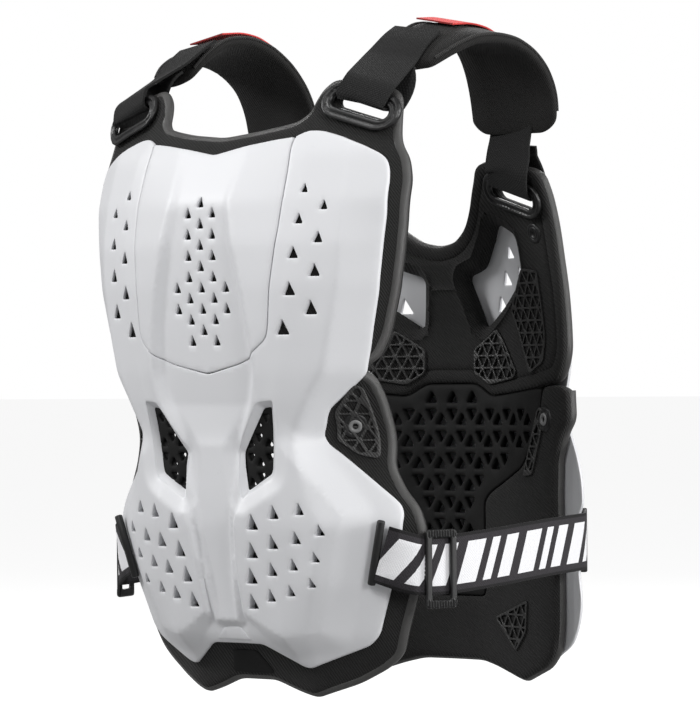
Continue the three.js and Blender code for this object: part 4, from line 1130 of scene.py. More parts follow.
def build_chest_shell():
    """The shell with its raised fields, the windows' collars and the tab at its foot"""
    s = sizes()
    collar_deep, collar_inward = 0.005, 0.0036
    for word, side in SIDES:
        window = scaled(SIDE_WINDOW, side)
        made = bevel("window_collar_" + word, window, face("chest"), s.shell_wall, collar_deep,
                     collar_inward)
        dress(made, "shell", "shell")
    tab = smooth_loop(scaled(SHELL_TAB), radius=0.002, step=0.001)
    tab_near, tab_far, tab_edge = -0.0007, 0.0012, 0.0006
    made = plate("bottom_tab", tab, [], face("chest"), tab_near, tab_far, tab_edge, spacing=0.002)
    dress(made, "shell", "shell")
    windows = window_loops(SIDE_WINDOW, WINDOW_CORNER)
    holes = windows + vents(CHEST_VENTS) + vents(BELLY_VENTS)
    mouths = Rim(windows)
    pods = [scaled(POD, side) for _, side in SIDES] + [whole(SPINE)]
    edges = [spaced(pod, step=0.0015) for pod in pods]
    rims_of_pods = [Rim([edge]) for edge in edges]
    top = place(0, POD_TOP)[1]
    middle_slope, window_fade, top_fade = 0.0052, 0.012, 0.03
    middle_end, side_start = 0.12, 0.32

    def raised(points, distance):
        across = np.abs(points[:, 0]) / s.half_width
        slope = np.interp(across, (middle_end, side_start), (middle_slope, s.pod_slope))
        lift = np.zeros(len(points))
        for pod, rim in zip(pods, rims_of_pods):
            away = np.where(inside(points, pod), 0, rim.distance(points))
            lift = np.maximum(lift, np.clip(1 - away / slope, 0, 1))
        near_window = np.clip(mouths.distance(points) / window_fade, 0, 1)
        near_top = np.clip((top - points[:, 1]) / top_fade, 0, 1)
        lift *= near_window * near_top
        return -s.pod_height * lift

    made = plate("chest_shell_skin", chest_shell_outline(), holes, face("chest"), 0, s.shell_wall,
                 s.shell_edge, spacing=0.0029, relief=raised, extra=edges + crease_lines("chest"))
    dress(made, "shell", "shell", "chest_shell")


def build_sternum_plate():
    s = sizes()
    proud = 0.0006
    outline = smooth_loop(whole(STERNUM), radius=0.004, step=0.002)
    made = plate("sternum_skin", outline, sternum_vents(), face("chest"), -proud, s.shell_wall,
                 s.shell_edge, extra=crease_lines("chest"))
    dress(made, "shell", "shell", "sternum_plate")


def build_back_shell():
    """The back shell with its raised spine"""
    s = sizes()
    near = s.back_liner_wall + s.seat_gap
    outline = smooth_loop(whole(BACK_SHELL), radius=0.008)
    spine = np.array([place(*corner) for corner in BACK_SPINE])
    rises = np.arange(spine[0, 1], spine[-1, 1], -CREASE_STEP)
    top_fade, foot_fade = 0.03, 0.006
    extra = [np.column_stack((side * (np.interp(-rises, -spine[:, 1], spine[:, 0]) + away), rises))
             for _, side in SIDES for away in (0, s.spine_ramp / 2, s.spine_ramp)]

    def swell(points):
        half = np.interp(-points[:, 1], -spine[:, 1], spine[:, 0])
        side_on = np.clip((np.abs(points[:, 0]) - half) / s.spine_ramp, 0, 1)
        fade = np.clip((outline[:, 1].max() - top_fade - points[:, 1]) / top_fade, 0, 1)
        foot = np.clip((points[:, 1] - spine[-1, 1]) / foot_fade, 0, 1)
        return s.spine_height * (1 - side_on) * fade * foot

    made = plate("back_shell_skin", outline, vents(BACK_VENTS), face("back"), near,
                 near + s.shell_wall, s.shell_edge, spacing=0.003, extra=extra + crease_lines("back"),
                 outer=swell)
    dress(made, "shell", "shell", "back_shell")


def slot_loop(loop_place, side, length_along, height):
    """A round-ended bar outline on a slope, such as a loop or its slot"""
    across, up, slope = loop_place
    angle = math.radians(-slope * side)
    along = np.array((math.cos(angle), math.sin(angle)))
    upward = np.array((-math.sin(angle), math.cos(angle)))
    radius = height / 2
    points = []
    for end in (1, -1):
        for turn in np.linspace(-math.pi / 2, math.pi / 2, 9):
            u = end * (length_along / 2 - radius + radius * math.cos(turn))
            v = end * radius * math.sin(turn)
            points.append(place(side * across, up) + along * u + upward * v)
    return spaced(np.array(points), step=0.0013)


# Length and height of the webbing's slots and of the frames round them
SLOT = (0.045, 0.011)
LOOP = (0.06, 0.027)

# Rounding of the liners' edges, and the spacing of their points
LINER_EDGE = 0.0045
BACK_LINER_EDGE = 0.004
LINER_SPACING = 0.0042
GRIP_PROUD = 0.0019
GRIP_SUNK = 0.001


def rims(name, edge, surface, layer, closed=True):
    """A padded rim round a liner, with a thin cord behind it"""
    s = sizes()
    inset = s.rim_radius - s.rim_proud
    if closed:
        ring = shifted(turned(edge, 1), inset)
    else:
        ahead = unit(np.gradient(edge, axis=0))
        ring = edge + np.column_stack((ahead[:, 1], -ahead[:, 0])) * inset
    line = np.column_stack((ring[:, 0], surface.depth(ring) + layer, ring[:, 1]))
    sides = 14
    # The rim's cloth is painted lighter than the liner's as a painted highlight along the edge
    dress(tube(name + "_rim", line, s.rim_radius, closed, sides), "rim", "foam")
    dress(tube(name + "_cord", line + (0, s.rim_radius, 0), s.cord_radius, closed), "piping", "foam")


def line_distance(points, start, end):
    """Distance from points to a straight line between two places"""
    a, b = place(*start), place(*end)
    share = np.clip(((points - a) @ (b - a)) / ((b - a) @ (b - a)), 0, 1)
    return np.linalg.norm(points - a - share[:, None] * (b - a), axis=1)


def grip(name, outline, surface, near, far):
    """A ribbed patch of triangular cells, standing a little proud of a liner"""
    pitch = sizes().grip_pitch
    border, strut, least_area, edge = 0.16, 0.14, 4e-6, 0.0004
    field = corner_inset(outline, pitch * border)
    gaps = [clipped(gap, field) for gap in lattice_gaps(field, pitch, pitch * strut)]
    gaps = [gap for gap in gaps if gap is not None and abs(signed_area(gap)) > least_area]
    gaps = [spaced(bent(gap, radius=0.0006), step=0.0012) for gap in gaps]
    outline = smooth_loop(outline, radius=0.0035, step=0.0018)
    return plate(name, outline, gaps, surface, near, far, edge, spacing=0.004)


def build_chest_liners():
    """The chest's and belly's padding with its rims, grips and tab"""
    s = sizes()
    soft = face("chest_soft")
    near = s.shell_wall + s.seat_gap
    far = near + s.liner_wall
    slots = [slot_loop(CHEST_LOOP, side, *SLOT) for _, side in SIDES]
    outline = smooth_loop(whole(CHEST_LINER), radius=0.006)
    made = plate("chest_padding", outline, slots, soft, near, far, LINER_EDGE, LINER_SPACING)
    dress(made, "foam", "foam", "chest_liner", fill=0.7)
    rims("chest", outline, soft, near + s.liner_wall / 2)
    outline = smooth_loop(whole(BELLY_LINER), radius=0.006)
    opening = spaced(bent(whole(CHEST_MESH), radius=0.006), step=0.002)
    made = plate("belly_padding", outline, [opening], soft, near, far, LINER_EDGE, LINER_SPACING)
    dress(made, "foam", "foam", "belly_liner", fill=0.7)
    rims("belly", outline, soft, near + s.liner_wall / 2)
    tab = smooth_loop(scaled(LINER_TAB), radius=0.003, step=0.0015)
    tab_proud, tab_sunk, tab_edge = 0.0008, 0.001, 0.0008
    made = plate("liner_tab", tab, [], soft, near - tab_proud, near + tab_sunk, tab_edge, spacing=0.003)
    dress(made, "mesh", "foam")
    for word, side in SIDES:
        made = grip("waist_grip_" + word, scaled(WAIST_GRIP, side), soft, near - GRIP_PROUD,
                    near + GRIP_SUNK)
        dress(made, "grip", "foam")


def build_back_liners():
    """The back's and loin's padding with its sunk windows, seams, rims and grips"""
    s = sizes()
    soft = face("back_soft")
    slots = [slot_loop(BACK_LOOP, side, *SLOT) for _, side in SIDES]
    outline = smooth_loop(whole(BACK_LINER), radius=0.007)
    windows = window_loops(BACK_WINDOW, radius=0.005)
    mouths, hem = Rim(windows), Rim([outline])
    slope, sinking = 0.008, 0.0065
    bead, bead_height, bead_soft = 0.0098, 0.0017, 0.0009
    seam, seam_depth, seam_soft = 0.0105, 0.0016, 0.0011
    line_height, line_soft = 0.0015, 0.0008

    def relief(points, distance):
        away = mouths.distance(points)
        sunk = sinking * np.clip(1 - away / slope, 0, 1)
        line = -bead_height * np.exp(-((away - bead) / bead_soft) ** 2)
        groove = seam_depth * np.exp(-((hem.distance(points) - seam) / seam_soft) ** 2)
        for start, end in BACK_LINES:
            off_line = line_distance(points, start, end)
            line = np.minimum(line, -line_height * np.exp(-(off_line / line_soft) ** 2))
        return sunk + line + groove

    extra = [shifted(turned(loop, -1), away) for loop in windows
             for away in (0.005, slope, 0.009, bead, 0.0106)]
    extra += [shifted(turned(outline, 1), away) for away in (0.009, seam, 0.012)]
    extra += [spaced(np.array([place(*start), place(*end)]) + (0, shift), 0.001, False)
              for start, end in BACK_LINES for shift in (-line_soft, 0, line_soft)]
    made = plate("back_padding", outline, slots + windows, soft, 0, s.back_liner_wall, BACK_LINER_EDGE,
                 LINER_SPACING, relief, extra)
    dress(made, "foam", "foam", "back_liner", fill=0.7)
    rim_layer = s.back_liner_wall * 0.6
    rims("back", outline, soft, rim_layer)
    outline = lumbar_outline()
    made = plate("lumbar_padding", outline, [], soft, 0, s.back_liner_wall, BACK_LINER_EDGE,
                 LINER_SPACING)
    dress(made, "foam", "foam", "lumbar_liner", fill=0.7)
    half = scaled(LUMBAR_LINER)[5:]
    half = np.vstack((half, mirrored(half[:-1])))
    path = spaced(bent(half, radius=0.006, closed=False), step=0.002, closed=False)
    rims("lumbar", path, soft, rim_layer, closed=False)
    for number, table in enumerate(BACK_GRIPS + LUMBAR_GRIPS):
        for word, side in SIDES:
            made = grip(f"back_grip_{number}_{word}", scaled(table, side), soft, -GRIP_PROUD, GRIP_SUNK)
            dress(made, "grip", "foam")


# From the lumbar liner's upper corner to the mesh pad's mouth
LUMBAR_STEP = (0.022, 0.001)


def lumbar_outline():
    """The lumbar liner's edge, down one side of the mesh pad's mouth and up the other"""
    half = scaled(LUMBAR_LINER)
    outer = half[4:]
    mouth = scaled(BACK_MESH)[MESH_MOUTH - 1:] + (sizes().seam_gap, 0)
    mouth[0] = outer[0] - LUMBAR_STEP
    mouth[-1] = (0, mouth[-1][1] - sizes().seam_gap)
    loop = np.vstack((outer, mirrored(outer[:-1]), mouth[:-1] * (-1, 1), mouth[::-1]))
    return smooth_loop(loop, radius=0.006)


def build_mesh_pads():
    s = sizes()
    edge, spacing = 0.0018, 0.006
    near = s.shell_wall + s.seat_gap + s.mesh_recess
    outline = smooth_loop(whole(CHEST_MESH), radius=0.006)
    gaps = lattice(outline, s.chest_pitch, s.lattice_strut)
    made = plate("chest_mesh", outline, gaps, face("chest_soft"), near, near + s.mesh_wall, edge, spacing)
    dress(made, "mesh", "mesh", "chest_mesh_pad", fill=0.8)
    outline = smooth_loop(whole(BACK_MESH), radius=0.005)
    gaps = lattice(outline, s.lattice_pitch, s.lattice_strut)
    made = plate("back_mesh", outline, gaps, face("back_soft"), s.mesh_recess, s.mesh_recess + s.mesh_wall,
                 edge, spacing)
    dress(made, "mesh", "mesh", "back_mesh_pad", fill=0.8)


# How far the frames round the slots stand out
FRAME_HEIGHT = 0.006


def frame_groove(points, distance):
    """A groove round a frame, between its outer edge and its slot"""
    deep, away, soft = 0.0016, 0.004, 0.0011
    return deep * np.exp(-((distance - away) / soft) ** 2)


def build_strap_loops():
    """Raised oval frames round the webbing's slots"""
    s = sizes()
    edge, spacing = 0.0022, 0.0011
    for kind, loop_place, surface, layer in (("chest", CHEST_LOOP, face("chest_soft"), s.shell_wall),
                                             ("back", BACK_LOOP, face("back_soft"), -s.seat_gap)):
        for word, side in SIDES:
            made = plate(f"{kind}_loop_frame_{word}", slot_loop(loop_place, side, *LOOP),
                         [slot_loop(loop_place, side, *SLOT)], surface, layer - FRAME_HEIGHT, layer,
                         edge, spacing, frame_groove)
            dress(made, "plastic", "loop", f"{kind}_strap_loop_{word}")


# Straps and pads

def point_at(across, back, up):
    s = sizes()
    depth = s.chest_depth if back < 0 else s.back_depth
    return np.array((across * s.half_width, back * depth, up * s.plate_height + DATUM))


def web_frames(surface, layer, loop_place, wall, top, tail):
    """The webbing's way from the pad over the loop, through its slot and up behind it"""
    s = sizes()
    across, up, slope = loop_place
    x, z = place(across, up)
    clearance, loop_height, bar = 0.0028, LOOP[1], SLOT[1] / 2

    def depth(u, v):
        return float(surface.depth(np.array([(u, v)]))[0])

    centre = np.array((x, depth(x, z) + layer, z))
    angle = math.radians(slope)

    def direction(dx, dz, reach):
        rise = depth(x + dx * reach, z + dz * reach) - depth(x - dx * reach, z - dz * reach)
        return np.array((dx, rise / (2 * reach), dz))

    along = direction(math.cos(angle), -math.sin(angle), s.webbing_width / 2)
    upward = direction(math.sin(angle), math.cos(angle), loop_height / 2)
    front = FRAME_HEIGHT + s.seat_gap + clearance
    behind = -wall - 1.4 * clearance
    past_frame, past_bar = 0.0045, 0.001
    rise, low = loop_height / 2 + past_frame, bar + past_bar
    hairpin = ((front, rise), (front, low), (front - s.webbing_wall, bar - clearance),
               (behind + s.webbing_wall, bar - clearance), (behind, low), (behind, rise))
    centres = [point_at(*row[:3]) + (0, 0, row[3] * s.pad_wall) for row in top]
    centres += [centre + upward * height - np.array((0, out, 0)) for out, height in hairpin]
    centres += [centre + (row[0] * loop_height, wall + row[1] * loop_height, row[2] * loop_height)
                for row in tail]
    acrosses = [(1, row[4], -row[5]) for row in top] + [along] * len(hairpin)
    acrosses += [(1, row[3], -row[4]) for row in tail]
    turn_radius, step = 0.006, 0.0022
    return band_frames(centres, acrosses, turn_radius, step)


def build_webbing():
    s = sizes()
    routes = (
        ("chest", face("chest_soft"), s.shell_wall + s.seat_gap, CHEST_LOOP, s.liner_wall,
         CHEST_WEB_TOP, CHEST_WEB_TAIL),
        ("back", face("back_soft"), 0, BACK_LOOP, s.back_liner_wall, BACK_WEB_TOP, BACK_WEB_TAIL),
    )
    for kind, surface, layer, loop_place, wall, top, tail in routes:
        frames = web_frames(surface, layer, loop_place, wall, top, tail)
        for word, side in SIDES:
            made = band(f"{kind}_web_{word}", frames, s.webbing_width, s.webbing_wall, side)
            dress(made, "webbing", "webbing", f"{kind}_webbing_{word}")


def pad_stations(count):
    """Stations along a shoulder pad: centre, half width, lean, wall and normal"""
    s = sizes()
    rows = [dict(zip(PAD_COLUMNS, row)) for row in PAD_STATIONS]
    centres = np.array([point_at(0, row["back"], row["up"]) for row in rows])
    run = lengths(centres)
    at = run[-1] * (1 - np.cos(np.linspace(0, math.pi, count))) / 2
    samples, soft, blend = 240, 0.009, 0.02
    fine = np.linspace(0, run[-1], samples)
    weights = np.exp(-((at[:, None] - fine[None]) / soft) ** 2)
    weights /= weights.sum(1)[:, None]

    def along(values):
        sampled = np.interp(fine, run, values)
        ends = np.interp(at, run, values)
        near_end = np.clip(np.minimum(at, run[-1] - at) / blend, 0, 1)
        return near_end * (weights @ sampled) + (1 - near_end) * ends

    path = np.column_stack([along(centres[:, axis]) for axis in range(3)])
    inner, outer, lean, wall = (along([row[key] for row in rows]) for key in PAD_COLUMNS[2:])
    normal = np.cross((1, 0, 0), tangents(path))
    middle = (inner + outer) / 2 * s.half_width
    reach = (outer - inner) / 2 * s.half_width
    return path, middle, reach, lean * s.pad_wall, wall * s.pad_wall, unit(normal), at, run[-1]


def pad_ring(station, profile, side=1):
    path, middle, reach, lean, wall, normal = station
    ring = [np.array((middle + u * reach, path[1], path[2])) + normal * (v * wall - u * lean)
            for u, v in profile]
    return np.array(ring) * (side, 1, 1)


# Radius of a pad's corners seen flat, and the length of its rounded end
PAD_CORNER = 0.013
PAD_END = 0.012

# A pad's cross groove: depth as a share of the wall, place and width as shares of the length
PAD_GROOVE = (0.12, 0.6, 0.012)

# A pad's long seam: depth as a share of the wall, place and width across, and where it starts
PAD_SEAM = (0.3, -0.32, 0.06, 0.55)
PAD_BULGE = 0.16


def build_shoulder_pads():
    """The pads with a seam along them, a groove across them and piping at their sides"""
    turns = np.linspace(0, 2 * math.pi, 48, endpoint=False)
    *columns, at, total = pad_stations(84)
    piped = slice(14, -15)
    groove_depth, groove_at, groove_width = PAD_GROOVE
    seam_depth, seam_at, seam_width, seam_start = PAD_SEAM
    least, taper = 0.03, 0.03
    piping_across, piping_out, piping_radius = 0.965, 0.34, 0.0013
    for word, side in SIDES:
        rings = []
        for index, station in enumerate(zip(*columns)):
            end = min(at[index], total - at[index]) / PAD_END
            blunt = math.sqrt(max(least, 1 - (1 - min(end, 1)) ** 2))
            nearest = min(1, min(at[index], total - at[index]) / PAD_CORNER)
            narrow = 1 - PAD_CORNER / station[2] * (1 - math.sqrt(1 - (1 - nearest) ** 2))
            groove = groove_depth * math.exp(-((at[index] / total - groove_at) / groove_width) ** 2)
            sewn = at[index] > total * seam_start
            profile = []
            for turn in turns:
                u = math.copysign(abs(math.cos(turn)) ** 0.5, math.cos(turn))
                v = math.copysign(abs(math.sin(turn)) ** 0.7, math.sin(turn)) * 0.5
                seam = seam_depth * math.exp(-((u - seam_at) / seam_width) ** 2) if sewn else 0
                crown = 1 + PAD_BULGE * (1 - u * u) - groove - seam
                profile.append((u * narrow * (1 - taper + taper * blunt), v * crown * blunt))
            rings.append(pad_ring(station, profile, side))
        made = loft("pad_" + word, rings)
        dress(made, "pad", "pad", "shoulder_pad_" + word, fill=0.8)
        for label, sign in (("inner", -1), ("outer", 1)):
            line = np.array([pad_ring(station, [(sign * piping_across, piping_out)], side)[0]
                             for station in list(zip(*columns))[piped]])
            made = tube(f"pad_piping_{label}_{word}", line, piping_radius, closed=False)
            dress(made, "piping", "pad")


def build_patches():
    s = sizes()
    crown = dict(zip(PAD_COLUMNS, PAD_STATIONS[PAD_CROWN]))
    offset, wall, width, lift = 0.008, 0.0012, 0.034, 0.0008
    middle = (crown["inner"] + crown["outer"]) / 2 * s.half_width - offset
    lean = 2 * crown["lean"] * s.pad_wall / ((crown["outer"] - crown["inner"]) * s.half_width)
    rise = (s.pad_wall + wall) / 2 + s.seat_gap + lean * offset
    centres = [point_at(0, back, up) + (middle, 0, rise + lift) for back, up in PATCH_STATIONS]
    frames = band_frames(centres, [(1, 0, -lean)] * len(centres), radius=0.02, step=0.002)
    for word, side in SIDES:
        made = band("patch_" + word, frames, width, wall, side)
        dress(made, "patch", "patch", "shoulder_patch_" + word)


def strap_centres():
    s = sizes()
    wall = s.back_liner_wall + s.seat_gap + s.shell_wall
    return [point_at(*row[:3]) + (0, row[4] * wall, 0) for row in STRAP_ROUTE]


def strap_frames():
    acrosses = [(row[3], 0, 1) for row in STRAP_ROUTE]
    return band_frames(strap_centres(), acrosses, radius=0.02, step=0.003)


def build_side_straps():
    """The straps with a row of stitches across each"""
    s = sizes()
    frames = strap_frames()
    route, across, normal, travelled = frames
    crown, stitched_at, stitch, lift = 0.0002, 0.03, 0.0021, 0.0012
    stitched_half, stitches = 0.018, 13
    for word, side in SIDES:
        made = band("strap_" + word, frames, s.strap_width, s.strap_wall, side, crown)
        dress(made, "strap", "strap", "side_strap_" + word)
        station = int(np.searchsorted(travelled, stitched_at))
        rows = np.linspace(-stitched_half, stitched_half, stitches)
        out = -normal[station] * (side, 1, 1) * np.sign(np.dot(normal[station], (-1, 0, 0)))
        starts = [(route[station] + across[station] * row) * (side, 1, 1) + out * lift for row in rows]
        ends = [start + across[station] * (side, 1, 1) * stitch for start in starts]
        made = stitch_row("strap_stitch_" + word, starts, ends, [out] * len(rows))
        dress(made, "thread", "strap")


def capsule(name, start, end, radius, sides=20):
    """A round bar with softened ends"""
    axis = unit(end - start)
    across = unit(np.cross(axis, (0, 1, 0.2)))
    other = np.cross(axis, across)
    soft = axis * radius * 0.35
    tip, shoulder = radius * 0.55, radius * 0.88
    stations = [(start, tip), (start + soft * 0.35, shoulder), (start + soft, radius),
                (end - soft, radius), (end - soft * 0.35, shoulder), (end, tip)]
    turns = np.linspace(0, 2 * math.pi, sides, endpoint=False)
    rings = [[centre + wide * (math.cos(turn) * across + math.sin(turn) * other) for turn in turns]
             for centre, wide in stations]
    return loft(name, rings)


def build_fittings():
    """Bars at the straps' ends and the sliding buckles"""
    s = sizes()
    radius, gap, past_strap = 0.003, 0.0009, 0.003
    reach = s.strap_width / 2 + past_strap
    share, drop = 0.75, 0.0025
    route = strap_centres()
    bars = (("chest", route[0], route[1], (STRAP_ROUTE[0][3], -0.1, 1)),
            ("back", route[-1], route[-2], (0, 0, 1)))
    for word, side in SIDES:
        flip = np.array((side, 1, 1))
        for kind, end, before, axis in bars:
            middle = (end + unit(end - before) * (radius + gap)) * flip
            half = unit(np.array(axis)) * reach * flip
            made = capsule(f"{kind}_bar_{word}", middle - half, middle + half, radius)
            dress(made, "plastic", "loop", f"{kind}_strap_bar_{word}")
        along = unit((route[3] - route[2]) * (1, 1, 0))
        outward = np.cross(along, (0, 0, 1))
        seat = route[2] + (route[3] - route[2]) * share + outward * (s.strap_wall / 2 + s.seat_gap)
        seat = seat - (0, 0, drop)
        made = buckle("buckle_" + word, seat, along, outward, flip)
        dress(made, "plastic", "loop", "side_slider_" + word)


RIB_PITCH = 0.0024


def upright_box(wide, high):
    """Corners of an upright rectangle round the datum"""
    return np.array(((-wide / 2, DATUM - high / 2), (wide / 2, DATUM - high / 2),
                     (wide / 2, DATUM + high / 2), (-wide / 2, DATUM + high / 2)))


def buckle(name, seat, along, outward, flip):
    """A frame with ribbed ends, open over the strap"""
    bar, gap, wall, rim, play = 0.005, 0.006, 0.003, 0.006, 0.002
    inner = sizes().strap_width + play
    width, height = 3 * bar + 2 * gap, inner + 2 * rim
    section = np.array(((-1, 0), (0, 0), (1, 0)))
    flat = Face([(DATUM + 0.1, section), (DATUM - 0.1, section)], across_soft=0.001, up_soft=0.001)
    step, edge, spacing = 0.0007, 0.0009, 0.0006
    outline = spaced(bent(upright_box(width, height), radius=0.003), step)
    gaps = [spaced(bent(upright_box(bar + 2 * gap, inner), radius=0.0012), step)]
    rib_depth, rib_fade = 0.0007, 0.0008

    def ribs(points, distance):
        out_of_gap = np.abs(points[:, 1] - DATUM) > inner / 2
        wave = rib_depth * np.cos(points[:, 0] * 2 * math.pi / RIB_PITCH)
        return np.where(out_of_gap, wave * np.clip(distance / rib_fade, 0, 1), 0)

    made = plate(name, outline, gaps, flat, -wall, 0, edge, spacing, ribs)
    turn = Matrix((along, -outward, (0, 0, 1))).transposed().to_4x4()
    made.data.transform(turn)
    made.data.transform(Matrix.Translation(seat - np.array((0, 0, DATUM))))
    if flip[0] < 0:
        made.data.transform(Matrix.Scale(-1, 4, (1, 0, 0)))
        made.data.flip_normals()
    return made


# A rivet's head from its foot to its dished middle: share of the radius, and height
RIVET_PROFILE = (
    (1, 0.0001), (1, 0.0018), (0.94, 0.0027), (0.86, 0.0032), (0.7, 0.0032), (0.62, 0.0028),
    (0.58, 0.0031), (0.42, 0.0031), (0.38, 0.0026), (0.18, 0.0024), (0.15, 0.0012),
)


def build_rivets():
    """Round heads with a raised ring and a dished middle"""
    s = sizes()
    steps, step, sunk = 40, 0.004, 0.002
    ring_height, ring_reach, ring_radius = 0.0026, 0.36, 0.17
    for name, across, up, size, surface_name, slot in RIVETS:
        radius = getattr(s, size)
        surface = face(surface_name + "_soft")
        layer = s.shell_wall + s.seat_gap if surface_name == "chest" else 0
        for word, side in SIDES:
            x, z = place(side * across, up)
            sample = np.array(((x + step, z), (x - step, z), (x, z + step), (x, z - step), (x, z)))
            depths = surface.depth(sample)
            out = unit(((depths[0] - depths[1]) / (2 * step), -1, (depths[2] - depths[3]) / (2 * step)))
            right = unit(np.cross(out, (0, 0, 1)))
            upward = np.cross(right, out)
            floor = np.array((x, depths[4] + layer, z)) - out * sunk
            turns = np.linspace(0, 2 * math.pi, steps, endpoint=False)
            spokes = np.outer(np.cos(turns), right) + np.outer(np.sin(turns), upward)
            rings = [floor + out * (height + s.seat_gap) + share * radius * spokes
                     for share, height in RIVET_PROFILE]
            made = loft(f"{name}_head_{word}", rings)
            dress(made, "plastic", slot, f"{name}_{word}")
            if slot == "rivet":
                ring = floor + out * ring_height + ring_reach * radius * spokes
                dress(tube(f"{name}_ring_{word}", ring, radius * ring_radius), "rivet", slot)


# Stage

CAMERA = {
    "azimuth": 38, "elevation": -0.36, "roll": -0.46, "distance": 2.945, "focal": 3875, "shift": -0.0132,
}
IMAGE = (700, 711)
SENSOR = 36
ROOM_LIGHT = 0.3
LIGHTS = (
    ("side_light", (2.7, 1.5, 0.4), 62, 1.2), ("left_light", (-2.3, -2.1, 1.5), 66, 0.8),
    ("front_light", (0.9, -2.9, 1.8), 26, 1.0), ("right_light", (3.0, -0.9, 0.6), 38, 0.9),
    ("top_light", (0.1, -0.7, 2.7), 26, 1.0), ("back_light", (-1.2, 2.7, 1.6), 40, 1.0),
)
LIGHTS_AIM = (0, 0, -0.25)
FLOOR_GLOW = 0.84
FLOOR_GREYS = ((0.24, 0.24, 0.24, 1), (0.26, 0.26, 0.26, 1))


def add_camera(scene):
    """A camera at the photo's angle, turned, shifted and rolled as the photo's was"""
    azimuth, elevation, roll = (math.radians(CAMERA[key]) for key in ("azimuth", "elevation", "roll"))
    right = Vector((math.cos(azimuth), math.sin(azimuth), 0))
    forward = Vector((-math.sin(azimuth) * math.cos(elevation), math.cos(azimuth) * math.cos(elevation),
                      -math.sin(elevation)))
    upward = right.cross(forward)
    rolled = math.cos(roll) * right + math.sin(roll) * upward
    upward = math.cos(roll) * upward - math.sin(roll) * right
    data = bpy.data.cameras.new("camera")
    data.sensor_width = SENSOR
    data.lens = CAMERA["focal"] / max(IMAGE) * SENSOR
    camera = bpy.data.objects.new("camera", data)
    scene.collection.objects.link(camera)
    where = -forward * CAMERA["distance"] - rolled * CAMERA["shift"] + Vector((0, 0, DATUM))
    turn = Matrix((rolled, upward, -forward)).transposed().to_4x4()
    camera.matrix_world = Matrix.Translation(where) @ turn
    scene.camera = camera


def add_floor(scene):
    """A pale floor that glows only for the camera, so that it throws little light back"""
    floor_mesh = bpy.data.meshes.new("floor")
    reach, level = 60.0, -0.62
    floor_mesh.from_pydata([(-reach, -reach, level), (reach, -reach, level), (reach, reach, level),
                            (-reach, reach, level)], [], [(0, 1, 2, 3)])
    floor = bpy.data.objects.new("floor", floor_mesh)
    scene.collection.objects.link(floor)
    pale = Finish("pale_floor", Roughness=0.9)
    grain = effect(pale.tree, "grain", Vector=pale.vector, Scale=40.0, Blotch=0.8)
    pale.feed("Base Color", pale.varied(grain.outputs["Blotches"], *FLOOR_GREYS))
    seen = tree_node(pale.tree, "ShaderNodeLightPath").outputs["Is Camera Ray"]
    pale.feed("Emission Color", pale.varied(seen, (0, 0, 0, 1), (1, 1, 1, 1)))
    pale.shader.inputs["Emission Strength"].default_value = FLOOR_GLOW
    floor_mesh.materials.append(pale.material)


def add_world(scene):
    """A white room, dimmer as a light than it looks"""
    world = bpy.data.worlds.new("studio")
    world.use_nodes = True
    tree = world.node_tree
    background = tree.nodes["Background"]
    background.inputs["Color"].default_value = (1, 1, 1, 1)
    seen = tree_node(tree, "ShaderNodeLightPath").outputs["Is Camera Ray"]
    put(tree, background.inputs["Strength"], maths(tree, "MULTIPLY_ADD", seen, 1 - ROOM_LIGHT, ROOM_LIGHT))
    scene.world = world


def add_lights(scene):
    for name, where, power, size in LIGHTS:
        light = bpy.data.lights.new(name, "AREA")
        light.energy = power
        light.size = size
        lamp = bpy.data.objects.new(name, light)
        lamp.location = where
        aim = Vector(LIGHTS_AIM) - lamp.location
        lamp.rotation_euler = aim.to_track_quat("-Z", "Y").to_euler()
        scene.collection.objects.link(lamp)


def build_stage():
    scene = bpy.context.scene
    scene.view_settings.view_transform = "Standard"
    for add in (add_camera, add_floor, add_world, add_lights):
        add(scene)


# Operators

class GUARD_OT_stage(bpy.types.Operator):
    """Sets up the camera, the pale floor and the soft light"""
    bl_idname = "guard.stage"
    bl_label = "Stage"

    def execute(self, context):
        build_stage()
        return {"FINISHED"}


class GUARD_OT_chest_shell(bpy.types.Operator):
    """Makes the vented shell over the chest and belly"""
    bl_idname = "guard.chest_shell"
    bl_label = "Chest shell"

    def execute(self, context):
        build_chest_shell()
        return {"FINISHED"}


class GUARD_OT_sternum_plate(bpy.types.Operator):
    """Makes the vented plate let into the top of the chest shell"""
    bl_idname = "guard.sternum_plate"
    bl_label = "Sternum plate"

    def execute(self, context):
        build_sternum_plate()
        return {"FINISHED"}


class GUARD_OT_back_shell(bpy.types.Operator):
    """Makes the shell over the back"""
    bl_idname = "guard.back_shell"
    bl_label = "Back shell"

    def execute(self, context):
        build_back_shell()
        return {"FINISHED"}


class GUARD_OT_chest_liners(bpy.types.Operator):
    """Makes the chest's and belly's padding with its rims and grips"""
    bl_idname = "guard.chest_liners"
    bl_label = "Chest liners"

    def execute(self, context):
        build_chest_liners()
        return {"FINISHED"}


class GUARD_OT_back_liners(bpy.types.Operator):
    """Makes the back's and loin's padding with its rims and grips"""
    bl_idname = "guard.back_liners"
    bl_label = "Back liners"

    def execute(self, context):
        build_back_liners()
        return {"FINISHED"}


class GUARD_OT_mesh_pads(bpy.types.Operator):
    """Makes the open lattices behind the windows and at the loin"""
    bl_idname = "guard.mesh_pads"
    bl_label = "Mesh pads"

    def execute(self, context):
        build_mesh_pads()
        return {"FINISHED"}


class GUARD_OT_strap_loops(bpy.types.Operator):
    """Makes the oval frames that the webbing passes through"""
    bl_idname = "guard.strap_loops"
    bl_label = "Strap loops"

    def execute(self, context):
        build_strap_loops()
        return {"FINISHED"}


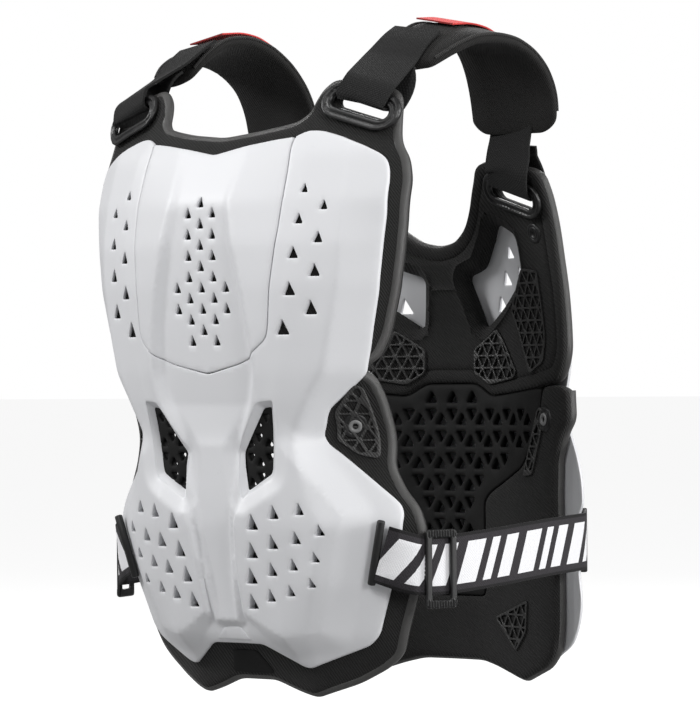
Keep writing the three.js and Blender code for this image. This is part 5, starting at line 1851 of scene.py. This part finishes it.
class GUARD_OT_webbing(bpy.types.Operator):
    """Makes the webbing between the loops and the shoulder pads"""
    bl_idname = "guard.webbing"
    bl_label = "Webbing"

    def execute(self, context):
        build_webbing()
        return {"FINISHED"}


class GUARD_OT_shoulder_pads(bpy.types.Operator):
    """Makes the padded strips over the shoulders and their patches"""
    bl_idname = "guard.shoulder_pads"
    bl_label = "Shoulder pads"

    def execute(self, context):
        build_shoulder_pads()
        build_patches()
        return {"FINISHED"}


class GUARD_OT_side_straps(bpy.types.Operator):
    """Makes the elastic straps at the waist"""
    bl_idname = "guard.side_straps"
    bl_label = "Side straps"

    def execute(self, context):
        build_side_straps()
        return {"FINISHED"}


class GUARD_OT_fittings(bpy.types.Operator):
    """Makes the strap bars and the sliding buckles"""
    bl_idname = "guard.fittings"
    bl_label = "Bars and buckles"

    def execute(self, context):
        build_fittings()
        return {"FINISHED"}


class GUARD_OT_rivets(bpy.types.Operator):
    """Makes the rivets at the lobes and the waist"""
    bl_idname = "guard.rivets"
    bl_label = "Rivets"

    def execute(self, context):
        build_rivets()
        return {"FINISHED"}


OPERATORS = (
    GUARD_OT_stage, GUARD_OT_chest_shell, GUARD_OT_sternum_plate, GUARD_OT_back_shell,
    GUARD_OT_chest_liners, GUARD_OT_back_liners, GUARD_OT_mesh_pads, GUARD_OT_strap_loops,
    GUARD_OT_webbing, GUARD_OT_shoulder_pads, GUARD_OT_side_straps, GUARD_OT_fittings, GUARD_OT_rivets,
)


class GUARD_PT_panel(bpy.types.Panel):
    """Lists the guard's pieces"""
    bl_idname = "GUARD_PT_panel"
    bl_label = "Roost deflector"
    bl_space_type = "VIEW_3D"
    bl_region_type = "UI"
    bl_category = "Guard"

    def draw(self, context):
        for operator in OPERATORS:
            self.layout.operator(operator.bl_idname)
        for group in (context.scene.guard_sizes, context.scene.guard_colours):
            for name in group.bl_rna.properties.keys():
                if name not in ("rna_type", "name"):
                    self.layout.prop(group, name)


CLASSES = (GUARD_PG_sizes, GUARD_PG_colours) + OPERATORS + (GUARD_PT_panel,)


def register():
    for one in CLASSES:
        bpy.utils.register_class(one)
    bpy.types.Scene.guard_sizes = bpy.props.PointerProperty(type=GUARD_PG_sizes)
    bpy.types.Scene.guard_colours = bpy.props.PointerProperty(type=GUARD_PG_colours)


def unregister():
    del bpy.types.Scene.guard_colours
    del bpy.types.Scene.guard_sizes
    for one in reversed(CLASSES):
        bpy.utils.unregister_class(one)


def main():
    register()
    bpy.ops.guard.stage()
    bpy.ops.guard.chest_shell()
    bpy.ops.guard.sternum_plate()
    bpy.ops.guard.back_shell()
    bpy.ops.guard.chest_liners()
    bpy.ops.guard.back_liners()
    bpy.ops.guard.mesh_pads()
    bpy.ops.guard.strap_loops()
    bpy.ops.guard.webbing()
    bpy.ops.guard.shoulder_pads()
    bpy.ops.guard.side_straps()
    bpy.ops.guard.fittings()
    bpy.ops.guard.rivets()


if __name__ == "__main__":
    main()
